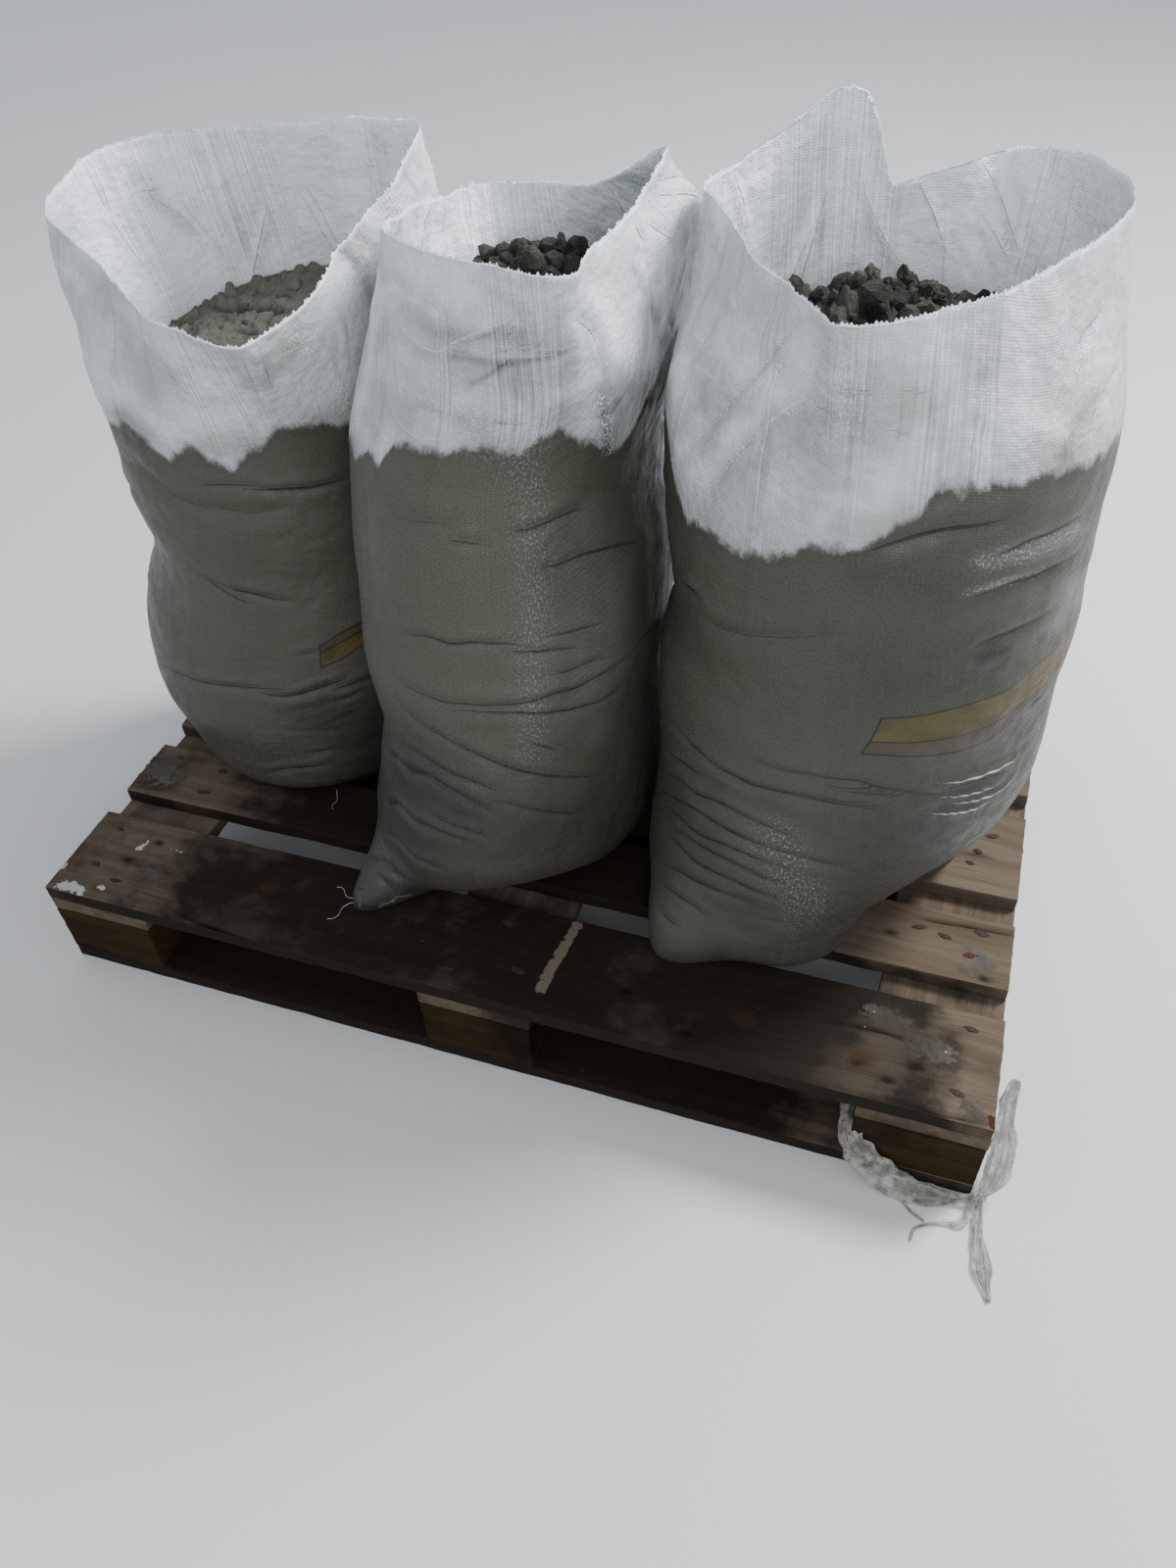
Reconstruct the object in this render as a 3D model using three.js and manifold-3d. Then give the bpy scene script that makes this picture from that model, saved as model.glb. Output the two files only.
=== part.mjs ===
// Three open sacks of damp sand standing in a row on a four-way block pallet.
// Millimetres, +Z up. The origin is on the floor, at the middle of the centre bottom board.
// +X runs along the 1200 mm side, from the viewer's left to the right, and +Y away from the viewer.
import * as THREE from "three";
import { ConvexGeometry } from "three/addons/geometries/ConvexGeometry.js";
import { mergeVertices } from "three/addons/utils/BufferGeometryUtils.js";
import Module from "manifold-3d";

// Pallet
const PALLET_LENGTH = 1200;
const PALLET_WIDTH = 800;
const BOARD_THICKNESS = 22;
const BLOCK_HEIGHT = 78;
const WIDE_BOARD = 145;
const NARROW_BOARD = 100;
const CORNER_BLOCK_DEPTH = 100;
const EDGE_BREAK = 3;
const CHIP_ALONG = 24;
const CHIP_ACROSS = 20;
const INNER_BOARD_OFFSET = 163.75;

// Sack fabric and sand, as the simple solids stand for them
const FABRIC_WALL = 3;
const SAND_GAP = 0.5;
const SLOPE_ALLOWANCE = 1.25;
const COLUMNS = 36;
const FREE_BANDS = 4;
const LEAST_RING_STEP = 20;
const HEAP_RINGS = [0.92, 0.82, 0.71, 0.6, 0.49, 0.38, 0.26, 0.13];
const CLOD_STEEPNESS = 4;
const SACK_GAP = 1;
const SQUEEZE_DEPTH = 16;

// Torn film remnant round the right-hand front block
const KNOT_RADIUS = 8.5;
const KNOT_AT = [606, -407.5, 18];
const KNOT_SIDES = 12;
const KNOT_BANDS = 8;
const WELD_DISTANCE = 0.001;

const HALF_LENGTH = PALLET_LENGTH / 2;
const HALF_WIDTH = PALLET_WIDTH / 2;
const BLOCKS_Z = BOARD_THICKNESS;
const STRINGERS_Z = BLOCKS_Z + BLOCK_HEIGHT;
const DECK_BOARDS_Z = STRINGERS_Z + BOARD_THICKNESS;
const DECK_Z = DECK_BOARDS_Z + BOARD_THICKNESS;

// How far the outline is drawn in above the deck, as the bottom edge rounds under: height, inset.
const BOTTOM_ROUND = [
  [0, 34],
  [12, 18],
  [32, 6],
  [60, 0],
];

// Stations: height, centre x, centre y, half width along x, half depth along y.
// Bulges: bearing in degrees, height, reach outwards, spread in degrees, spread in height.
// Rim: x, y, z of the cut edge, going round.
// Heaps and clods of the sand: x, y, height and spread. A clod has steeper sides than a heap.
// Sand slope: bearing where the edge of the sand lies lowest, how far it lies below the filled outline
// there, and its spread in degrees.
const SACKS = [
  {
    name: "left",
    stations: [
      [144, -408, 46, 214, 206],
      [200, -410, 48, 216, 216],
      [260, -410, 50, 222, 226],
      [320, -408, 52, 218, 222],
      [389, -402, 55, 208, 212],
      [485, -385, 65, 193, 205],
      [541, -388, 62, 198, 205],
      [641, -390, 60, 196, 200],
      [700, -392, 55, 199, 199],
    ],
    bulges: [
      [285, 150, 16, 40, 50],
      [225, 190, -14, 30, 60],
      [188, 790, 16, 32, 60],
      [30, 840, 34, 26, 60],
    ],
    rim: [
      [-264, -158, 796],
      [-293, -164, 800],
      [-330, -157, 804],
      [-354, -155, 808],
      [-404, -124, 812],
      [-443, -94, 818],
      [-476, -71, 825],
      [-525, -45, 838],
      [-570, -19, 852],
      [-606, 61, 858],
      [-606, 121, 868],
      [-562, 171, 876],
      [-482, 190, 882],
      [-425, 204, 885],
      [-364, 223, 888],
      [-326, 234, 890],
      [-266, 222, 893],
      [-226, 213, 897],
      [-196, 124, 890],
      [-193, 78, 875],
      [-210, 54, 858],
      [-219, 25, 845],
      [-227, -1, 835],
      [-227, -55, 815],
      [-235, -84, 805],
      [-249, -122, 798],
    ],
    rimCentre: [-395, 25],
    heaps: [[-330, 90, 26, 110]],
    clods: [],
    sandSlope: [195, 50, 60],
  },
  {
    name: "middle",
    stations: [
      [144, -52, -78, 176, 220],
      [200, -49, -75, 179, 235],
      [311, -39, -70, 167, 235],
      [397, -33, -62, 157, 235],
      [469, -35, -55, 170, 235],
      [539, -29, -48, 176, 230],
      [626, -39, -40, 160, 225],
      [708, -36, -30, 156, 215],
      [780, -14, -22, 156, 205],
    ],
    bulges: [
      [240, 144, 73, 11, 55],
      [290, 144, -58, 30, 60],
      [28, 865, 80, 24, 60],
      [10, 755, 10, 40, 60],
      [5, 480, 14, 30, 75],
    ],
    rim: [
      [-93, -143, 912],
      [-59, -161, 910],
      [-20, -178, 910],
      [7, -184, 910],
      [30, -188, 910],
      [54, -198, 911],
      [86, -197, 910],
      [99, -185, 908],
      [92, -147, 904],
      [93, -102, 903],
      [101, -75, 908],
      [109, -29, 918],
      [117, 35, 940],
      [63, 78, 905],
      [25, 117, 880],
      [-13, 152, 862],
      [-81, 177, 853],
      [-141, 165, 850],
      [-162, 130, 850],
      [-166, 70, 860],
      [-150, -10, 875],
      [-120, -85, 895],
    ],
    rimCentre: [-25, -5],
    heaps: [[-15, 35, 39, 105]],
    clods: [
      [-84, 86, 16, 17],
      [-41, 78, 14, 20],
      [2, 92, 18, 25],
      [-31, 33, 9, 18],
      [-4, 28, 8, 16],
      [-70, 10, 10, 20],
      [30, -25, 12, 22],
      [-50, -60, 10, 22],
      [15, -95, 10, 20],
    ],
  },
  {
    name: "right",
    stations: [
      [144, 338, -62, 196, 212],
      [188, 335, -58, 204, 220],
      [321, 352, -50, 211, 224],
      [400, 356, -46, 215, 226],
      [480, 355, -42, 214, 226],
      [550, 364, -38, 209, 226],
      [640, 355, -34, 210, 224],
      [725, 353, -28, 211, 218],
      [768, 352, -24, 210, 214],
    ],
    bulges: [
      [236, 144, 52, 16, 70],
      [275, 150, 14, 26, 60],
      [320, 180, -76, 34, 100],
      [178, 800, 12, 36, 60],
    ],
    rim: [
      [158, 8, 915],
      [167, 0, 914],
      [194, -39, 908],
      [216, -79, 906],
      [241, -125, 905],
      [263, -145, 903],
      [288, -181, 903],
      [306, -204, 903],
      [323, -224, 904],
      [363, -219, 907],
      [396, -198, 912],
      [429, -176, 915],
      [466, -133, 921],
      [485, -95, 922],
      [507, -50, 923],
      [522, -11, 924],
      [528, 49, 924],
      [513, 119, 918],
      [492, 173, 912],
      [467, 204, 906],
      [418, 240, 895],
      [386, 222, 888],
      [361, 210, 882],
      [336, 197, 877],
      [312, 181, 874],
      [295, 179, 915],
      [275, 194, 952],
      [260, 197, 955],
      [246, 197, 953],
      [221, 179, 938],
      [198, 160, 922],
      [177, 131, 912],
      [162, 99, 905],
    ],
    rimCentre: [345, -10],
    heaps: [[330, 25, 36, 125]],
    clods: [
      [306, 52, 22, 29],
      [232, 112, 20, 18],
      [266, 95, 10, 15],
      [342, 126, 15, 15],
      [364, 84, 18, 22],
      [284, 18, 13, 20],
      [388, 128, 9, 16],
      [420, 150, 8, 14],
      [330, -45, 12, 24],
      [405, 0, 11, 22],
      [250, -60, 10, 22],
      [345, -125, 10, 24],
      [430, -85, 9, 20],
    ],
  },
];

// Planes that press neighbouring sacks flat: x at the row's middle, how far x shifts for each mm of y,
// and for each mm of height above the sand.
const LEFT_CONTACT = [-200, 0.19, 0.2];
const RIGHT_CONTACT = [138, 0, 0.05];
const CONTACT_LEAN_FROM = 780;

const fabricMaterial = () => new THREE.MeshStandardMaterial({ color: 0xd4d8dd, roughness: 0.45 });
const sandMaterial = () => new THREE.MeshStandardMaterial({ color: 0x5d5a4f, roughness: 0.95 });
const deckMaterial = () => new THREE.MeshStandardMaterial({ color: 0x594638, roughness: 0.7 });
const blockMaterial = () => new THREE.MeshStandardMaterial({ color: 0x7a5d34, roughness: 0.8 });
const filmMaterial = () => new THREE.MeshStandardMaterial({ color: 0xb9bab6, roughness: 0.35 });

const pallet = new THREE.Group();

function addPiece(name, geometry, material) {
  const mesh = new THREE.Mesh(geometry, material);
  mesh.name = name;
  pallet.add(mesh);
}

// Sawn timber with broken edges. A chip takes one upper corner off the right-hand front end.
function timber([x0, x1], [y0, y1], [z0, z1], chipped = false) {
  const c = EDGE_BREAK;
  const points = [];
  for (const [x, sx] of [[x0, 1], [x1, -1]]) {
    for (const [y, sy] of [[y0, 1], [y1, -1]]) {
      for (const [z, sz] of [[z0, 1], [z1, -1]]) {
        const cornerGone = chipped && x === x1 && y === y0;
        const dx = cornerGone ? CHIP_ALONG : c;
        const dy = cornerGone ? CHIP_ACROSS : c;
        points.push(new THREE.Vector3(x + sx * dx, y, z + sz * c));
        points.push(new THREE.Vector3(x, y + sy * dy, z + sz * c));
        points.push(new THREE.Vector3(x + sx * (dx + c), y + sy * (dy + c), z));
        if (!cornerGone) continue;
        points.push(new THREE.Vector3(x + sx * c, y + sy * (dy + c), z));
        points.push(new THREE.Vector3(x + sx * (dx + c), y + sy * c, z));
      }
    }
  }
  return new ConvexGeometry(points);
}

// Pallet boards and blocks
const span = (centre, width) => [centre - width / 2, centre + width / 2];
const fullLength = [-HALF_LENGTH, HALF_LENGTH];
const edgeBoardY = HALF_WIDTH - WIDE_BOARD / 2;
const topRows = [
  [-edgeBoardY, WIDE_BOARD],
  [-INNER_BOARD_OFFSET, NARROW_BOARD],
  [0, WIDE_BOARD],
  [INNER_BOARD_OFFSET, NARROW_BOARD],
  [edgeBoardY, WIDE_BOARD],
];
topRows.forEach(([y, width], i) => {
  const geometry = timber(fullLength, span(y, width), [DECK_BOARDS_Z, DECK_Z], i === 0);
  addPiece(`top_board_${i + 1}`, geometry, deckMaterial());
});

const columnX = [-(HALF_LENGTH - WIDE_BOARD / 2), 0, HALF_LENGTH - WIDE_BOARD / 2];
columnX.forEach((x, i) => {
  const geometry = timber(span(x, WIDE_BOARD), [-HALF_WIDTH, HALF_WIDTH], [STRINGERS_Z, DECK_BOARDS_Z]);
  addPiece(`stringer_board_${i + 1}`, geometry, deckMaterial());
});

const edgeBlockY = HALF_WIDTH - CORNER_BLOCK_DEPTH / 2;
const blockRows = [
  [-edgeBlockY, CORNER_BLOCK_DEPTH],
  [0, WIDE_BOARD],
  [edgeBlockY, CORNER_BLOCK_DEPTH],
];
blockRows.forEach(([y, depth], row) => {
  columnX.forEach((x, column) => {
    const geometry = timber(span(x, WIDE_BOARD), span(y, depth), [BLOCKS_Z, STRINGERS_Z]);
    addPiece(`block_${row * columnX.length + column + 1}`, geometry, blockMaterial());
  });
  const board = timber(fullLength, span(y, depth), [0, BLOCKS_Z]);
  addPiece(`bottom_board_${row + 1}`, board, deckMaterial());
});

// Straight-line lookup in rows that start with an ascending key.
function lookUp(rows, key) {
  if (key <= rows[0][0]) return rows[0].slice(1);
  for (let i = 1; i < rows.length; i++) {
    if (key > rows[i][0]) continue;
    const t = (key - rows[i - 1][0]) / (rows[i][0] - rows[i - 1][0]);
    return rows[i].slice(1).map((value, k) => rows[i - 1][k + 1] * (1 - t) + value * t);
  }
  return rows[rows.length - 1].slice(1);
}

// Neighbours press each other flat: points near or past the contact plane are drawn back to it.
function squeezed([x, y, z], [middle, slope, lean], side) {
  const plane = middle + slope * y + lean * Math.max(0, z - CONTACT_LEAN_FROM);
  const depth = side * (plane - x);
  if (depth > SQUEEZE_DEPTH) return [x, y, z];
  const reach = SQUEEZE_DEPTH - SACK_GAP;
  const drawn = SACK_GAP + reach * Math.exp((depth - SQUEEZE_DEPTH) / reach);
  return [plane - side * drawn, y, z];
}

function pressed(sack, point) {
  if (sack.name === "left") return squeezed(point, LEFT_CONTACT, 1);
  if (sack.name === "right") return squeezed(point, RIGHT_CONTACT, -1);
  return squeezed(squeezed(point, LEFT_CONTACT, -1), RIGHT_CONTACT, 1);
}

// How far the bulges push the outline out at one bearing and height.
function bulge(sack, bearing, z) {
  let out = 0;
  for (const [at, height, reach, spread, rise] of sack.bulges) {
    const off = turn(bearing - at + 180) - 180;
    out += reach * Math.exp(-((off / spread) ** 2) - ((z - height) / rise) ** 2);
  }
  return out;
}

// At a stitched corner the bottom edge isn't rounded under.
function cornerShare(sack, bearing) {
  const corner = sack.bulges.find(([, height, reach]) => height === DECK_Z && reach > 0);
  if (!corner) return 0;
  const off = turn(bearing - corner[0] + 180) - 180;
  return Math.exp(-((off / corner[3]) ** 2));
}

const turn = (degrees) => ((degrees % 360) + 360) % 360;

// The filled part of a sack: the outline at one height and bearing, drawn in by an inset.
function bodyPoint(sack, bearing, z, inset) {
  const [cx, cy, halfWidth, halfDepth] = lookUp(sack.stations, z);
  const angle = THREE.MathUtils.degToRad(bearing);
  const oval = 1 / Math.hypot(Math.cos(angle) / halfWidth, Math.sin(angle) / halfDepth);
  const rounding = lookUp(BOTTOM_ROUND, z - DECK_Z)[0] * (1 - cornerShare(sack, bearing));
  const radius = oval + bulge(sack, bearing, z) - rounding;
  const point = pressed(sack, [cx + radius * Math.cos(angle), cy + radius * Math.sin(angle), z]);
  return drawnIn(point, cx, cy, inset);
}

// A point moved towards the axis by the wall, with an allowance for the slope of the wall.
function drawnIn([x, y, z], cx, cy, inset) {
  const out = Math.hypot(x - cx, y - cy);
  const kept = (out - inset * SLOPE_ALLOWANCE) / out;
  return new THREE.Vector3(cx + (x - cx) * kept, cy + (y - cy) * kept, z);
}

// The cut edge at one bearing from the mouth's centre.
function rimPoint(sack, bearing) {
  const [cx, cy] = sack.rimCentre;
  const rows = sack.rim
    .map(([x, y, z]) => [x - cx, y - cy, z])
    .map(([x, y, z]) => [turn(THREE.MathUtils.radToDeg(Math.atan2(y, x))), Math.hypot(x, y), z])
    .sort((a, b) => a[0] - b[0]);
  const last = rows[rows.length - 1];
  const first = rows[0];
  const wrapped = [[last[0] - 360, last[1], last[2]], ...rows, [first[0] + 360, first[1], first[2]]];
  const [radius, z] = lookUp(wrapped, bearing);
  const angle = THREE.MathUtils.degToRad(bearing);
  return new THREE.Vector3(cx + radius * Math.cos(angle), cy + radius * Math.sin(angle), z);
}

// The loose fabric above the sand runs from the filled outline up to the cut edge, with its bulges between.
function freePoint(sack, bearing, share, inset) {
  const top = sack.stations[sack.stations.length - 1];
  const low = bodyPoint(sack, bearing, top[0], 0);
  const point = low.lerp(rimPoint(sack, bearing), share);
  const cx = THREE.MathUtils.lerp(top[1], sack.rimCentre[0], share);
  const cy = THREE.MathUtils.lerp(top[2], sack.rimCentre[1], share);
  const angle = THREE.MathUtils.degToRad(bearing);
  const out = bulge(sack, bearing, point.z) * (1 - share ** 3) - bulge(sack, bearing, top[0]) * (1 - share);
  point.x += out * Math.cos(angle);
  point.y += out * Math.sin(angle);
  return drawnIn(pressed(sack, point.toArray()), cx, cy, inset);
}

// How far the edge of the sand lies below the top of the filled outline.
function sandDrop(sack, bearing) {
  if (!sack.sandSlope) return 0;
  const [lowest, drop, spread] = sack.sandSlope;
  const off = turn(bearing - lowest + 180) - 180;
  return drop * Math.exp(-((off / spread) ** 2));
}

const bearings = Array.from({ length: COLUMNS }, (_, i) => (i * 360) / COLUMNS);
const ringOf = (pointAt) => bearings.map(pointAt);

// A closed body from rings of points: bands between neighbouring rings, and a fan at each end.
// From the turning ring on, the rings come back down inside and the quads split along the same diagonals.
function loft(rings, turning = rings.length) {
  const sides = rings[0].length;
  const positions = [];
  const push = (a, b, c) => positions.push(...a, ...b, ...c);
  const middle = (ring) => ring.reduce((sum, p) => sum.add(p), new THREE.Vector3()).divideScalar(ring.length);
  for (let k = 0; k + 1 < rings.length; k++) {
    for (let i = 0; i < sides; i++) {
      const j = (i + 1) % sides;
      const [a, b, c, d] = [rings[k][i], rings[k][j], rings[k + 1][j], rings[k + 1][i]];
      if (k < turning) {
        push(a, b, c);
        push(a, c, d);
      } else {
        push(a, b, d);
        push(b, c, d);
      }
    }
  }
  const first = rings[0];
  const last = rings[rings.length - 1];
  const start = middle(first);
  const end = middle(last);
  for (let i = 0; i < sides; i++) {
    const j = (i + 1) % sides;
    push(start, first[j], first[i]);
    push(end, last[i], last[j]);
  }
  const geometry = new THREE.BufferGeometry();
  geometry.setAttribute("position", new THREE.Float32BufferAttribute(positions, 3));
  geometry.computeVertexNormals();
  return geometry;
}

// Heights of the rings: the rounded bottom edge, then the stations above it.
function levelsFrom(sack, floor) {
  const rounded = BOTTOM_ROUND.map(([height]) => DECK_Z + height);
  const rounding = rounded[rounded.length - 1] + LEAST_RING_STEP;
  const upper = sack.stations.map(([z]) => z).filter((z) => z > rounding);
  return [floor, ...[...rounded, ...upper].filter((z) => z > floor + 1)];
}

// The fabric: up the outer face, over the cut edge and down the inner face to the sack's own bottom.
function fabricOf(sack) {
  const shares = Array.from({ length: FREE_BANDS }, (_, i) => (i + 1) / FREE_BANDS);
  const skin = (floor, inset) => [
    ...levelsFrom(sack, floor).map((z) => ringOf((b) => bodyPoint(sack, b, z, inset))),
    ...shares.map((s) => ringOf((b) => freePoint(sack, b, s, inset))),
  ];
  const outer = skin(DECK_Z, 0);
  const inner = skin(DECK_Z + FABRIC_WALL, FABRIC_WALL);
  return loft([...outer, ...inner.reverse()], outer.length - 1);
}

// The sand: it fills the fabric up to its edge and is heaped inside it.
function sandOf(sack) {
  const inset = FABRIC_WALL + SAND_GAP;
  const levels = levelsFrom(sack, DECK_Z + inset);
  const sides = levels.map((z) => ringOf((b) => bodyPoint(sack, b, z, inset)));
  const topStep = levels[levels.length - 1] - levels[levels.length - 2];
  const below = sides[sides.length - 2];
  const edge = sides.pop().map((p, i) => p.lerp(below[i], sandDrop(sack, bearings[i]) / topStep));
  const middleZ = edge.reduce((sum, p) => sum + p.z, 0) / edge.length;
  const [, cx, cy] = sack.stations[sack.stations.length - 1];
  const mound = (places, steepness, x, y) =>
    places
      .map(([hx, hy, rise, spread]) => rise * Math.exp(-((Math.hypot(x - hx, y - hy) / spread) ** steepness)))
      .reduce((sum, rise) => sum + rise, 0);
  const heapAt = (x, y) => mound(sack.heaps, 2, x, y) + mound(sack.clods, CLOD_STEEPNESS, x, y);
  const heap = HEAP_RINGS.map((share) =>
    edge.map((p) => {
      const x = cx + (p.x - cx) * share;
      const y = cy + (p.y - cy) * share;
      return new THREE.Vector3(x, y, middleZ + (p.z - middleZ) * share + heapAt(x, y));
    }),
  );
  return loft([...sides, edge, ...heap]);
}

for (const sack of SACKS) {
  addPiece(`sack_${sack.name}`, fabricOf(sack), fabricMaterial());
  addPiece(`sand_${sack.name}`, sandOf(sack), sandMaterial());
}

// Torn film: a strap of gathered film round the front and outer faces of the block, knotted at the corner.
const wasm = await Module();
wasm.setup();

function toSolid(geometry) {
  const bare = geometry.clone();
  bare.deleteAttribute("normal");
  bare.deleteAttribute("uv");
  const merged = mergeVertices(bare, WELD_DISTANCE);
  const vertProperties = merged.attributes.position.array;
  return new wasm.Manifold(new wasm.Mesh({ numProp: 3, vertProperties, triVerts: merged.index.array }));
}

function fromSolid(solid) {
  const mesh = solid.getMesh();
  const geometry = new THREE.BufferGeometry();
  geometry.setAttribute("position", new THREE.BufferAttribute(new Float32Array(mesh.vertProperties), 3));
  geometry.setIndex(new THREE.BufferAttribute(new Uint32Array(mesh.triVerts), 1));
  return geometry;
}

// A strip of gathered film: at each place a centre, half the strip's width and half its thickness as vectors.
function strip(places) {
  const along = new THREE.Vector3(...places[1][0]).sub(new THREE.Vector3(...places[0][0]));
  const rings = places.map(([centre, across, through]) => {
    const [p, a, t] = [centre, across, through].map((v) => new THREE.Vector3(...v));
    const turned = new THREE.Vector3().crossVectors(a, t).dot(along) < 0 ? -1 : 1;
    const corner = (i, j) => p.clone().addScaledVector(a, i * turned).addScaledVector(t, j);
    return [corner(1, 1), corner(-1, 1), corner(-1, -1), corner(1, -1)];
  });
  return loft(rings);
}

const frontStrip = strip([
  [[453.5, -330, 80], [0, 0, 12], [-1, 0, 0]],
  [[453.5, -396, 72], [0, 0, 13], [-1, 0, 0]],
  [[455, -402, 68], [0, 0, 13], [-0.7, -0.7, 0]],
  [[500, -401.4, 42], [0, 0, 13], [0, -1, 0]],
  [[552, -401.4, 24], [0, 0, 12], [0, -1, 0]],
  [[598, -402.5, 17], [0, 0, 8], [0, -1, 0]],
  [[603, -405, 17], [0, 0, 7], [0, -1, 0]],
]);
const sideStrip = strip([
  [[604, -406, 20], [0, 0, 8], [0.7, -0.7, 0]],
  [[605, -392, 34], [0, 0, 14], [1, 0, 0]],
  [[606, -362, 60], [0, 0, 22], [1, 0, 0]],
  [[610, -328, 84], [0, 0, 22], [1, 0, 0]],
  [[616, -306, 102], [0, 0, 10], [1, 0, 0]],
]);
const floorTail = strip([
  [[605, -408, 14], [5, 0, 0], [0, -0.8, -0.8]],
  [[608, -424, 3], [8, 0, 0], [0, -0.4, -0.8]],
  [[614, -470, 1.2], [11, 2, 0], [0, 0, -0.8]],
  [[621, -519, 1.2], [4, 1, 0], [0, 0, -0.8]],
]);
const knot = new THREE.SphereGeometry(KNOT_RADIUS, KNOT_SIDES, KNOT_BANDS).translate(...KNOT_AT);
const film = [frontStrip, sideStrip, floorTail, knot].map(toSolid).reduce((a, b) => a.add(b));
addPiece("torn_film", fromSolid(film), filmMaterial());

export default pallet;
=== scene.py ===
import math
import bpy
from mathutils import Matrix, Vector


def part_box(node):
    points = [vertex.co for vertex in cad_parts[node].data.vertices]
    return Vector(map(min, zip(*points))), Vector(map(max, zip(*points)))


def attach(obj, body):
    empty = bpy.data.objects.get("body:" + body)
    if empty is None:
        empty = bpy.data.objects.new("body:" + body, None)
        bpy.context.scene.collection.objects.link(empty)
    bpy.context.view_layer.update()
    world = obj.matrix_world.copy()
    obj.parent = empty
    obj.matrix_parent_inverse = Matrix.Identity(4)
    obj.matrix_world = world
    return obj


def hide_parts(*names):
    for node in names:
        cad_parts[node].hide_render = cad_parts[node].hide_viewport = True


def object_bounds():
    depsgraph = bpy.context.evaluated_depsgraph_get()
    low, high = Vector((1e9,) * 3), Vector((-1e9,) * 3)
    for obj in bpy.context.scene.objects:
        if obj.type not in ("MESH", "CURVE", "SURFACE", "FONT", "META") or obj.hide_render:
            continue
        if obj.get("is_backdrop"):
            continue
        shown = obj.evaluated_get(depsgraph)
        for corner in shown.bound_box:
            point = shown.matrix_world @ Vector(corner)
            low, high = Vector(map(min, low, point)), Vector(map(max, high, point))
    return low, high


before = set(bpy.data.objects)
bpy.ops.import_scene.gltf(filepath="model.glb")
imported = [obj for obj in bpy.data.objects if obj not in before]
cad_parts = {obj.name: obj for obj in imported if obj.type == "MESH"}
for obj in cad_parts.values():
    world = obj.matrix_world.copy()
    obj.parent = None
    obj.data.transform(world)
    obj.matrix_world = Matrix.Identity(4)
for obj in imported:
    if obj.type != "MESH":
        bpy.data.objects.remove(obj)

from types import SimpleNamespace

import bmesh
import bpy
import numpy as np
from mathutils import Matrix, Vector
from mathutils.bvhtree import BVHTree

CAD_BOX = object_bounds()

bl_info = {
    "name": "Pallet of open sand sacks",
    "version": (1, 0, 0),
    "blender": (4, 5, 0),
    "location": "View3D > Sidebar > Sacks",
    "description": "Three open woven sacks of damp sand on a four-way block pallet",
    "category": "Add Mesh",
}

def rows_of(text):
    """Rows of numbers, written as a,b,c d,e,f and so on."""
    return [tuple(float(value) for value in row.split(",")) for row in text.split()]


def marks_of(text):
    """Marks, each written as its sizes and then pixels of the photograph along it, with semicolons between."""
    for mark in filter(str.strip, text.split(";")):
        words = mark.split()
        sizes = [float(word) for word in words if "," not in word]
        yield *sizes, rows_of(" ".join(words[len(sizes) :]))


def bell(value):
    return np.exp(-(value**2))


def turn_from(start, bearing):
    """How far bearings lie from one of them, in degrees either way."""
    return (bearing - start + 180) % 360 - 180


def unit(vectors):
    return vectors / np.maximum(np.linalg.norm(vectors, axis=-1, keepdims=True), 1e-9)


def lengths_along(line):
    """How far along a line each of its points lies."""
    return np.concatenate([[0], np.cumsum(np.linalg.norm(np.diff(line, axis=0), axis=1))])


def tapered(share, end, power=1.0):
    """1 halfway along, falling to little at both ends."""
    return np.sin(np.pi * np.clip(share, end, 1 - end)) ** power


# The photograph's camera: place, axes and focal length in pixels of a 1200 x 1600 frame
EYE = np.array([0.4387, -1.1206, 1.3019])
LOOK_RIGHT = np.array([0.9483, 0.3146, -0.0422])
LOOK_DOWN = np.array([0.1930, -0.6772, -0.7101])
LOOK_AHEAD = np.array([-0.2519, 0.6652, -0.7029])
FOCAL_PX = 1218.44
FRAME_PX = (1200, 1600)
SENSOR_MM = 36

# Sack solids, in millimetres, as the solids have them
DECK_Z = 144.0
SACK_GAP = 1.0
SQUEEZE_DEPTH = 16.0
LEFT_CONTACT = (-200.0, 0.19, 0.2)
RIGHT_CONTACT = (138.0, 0.0, 0.05)
CONTACT_LEAN_FROM = 780.0
BOTTOM_ROUND = ((0, 34), (12, 18), (32, 6), (60, 0))
# Metres from the middle of a sack to its cloth, where tapes are counted
WRAP_RADIUS = 0.215
# Metres that a line in the photograph may jump on a sack before its end is left out
LARGEST_JUMP = 0.16

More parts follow.
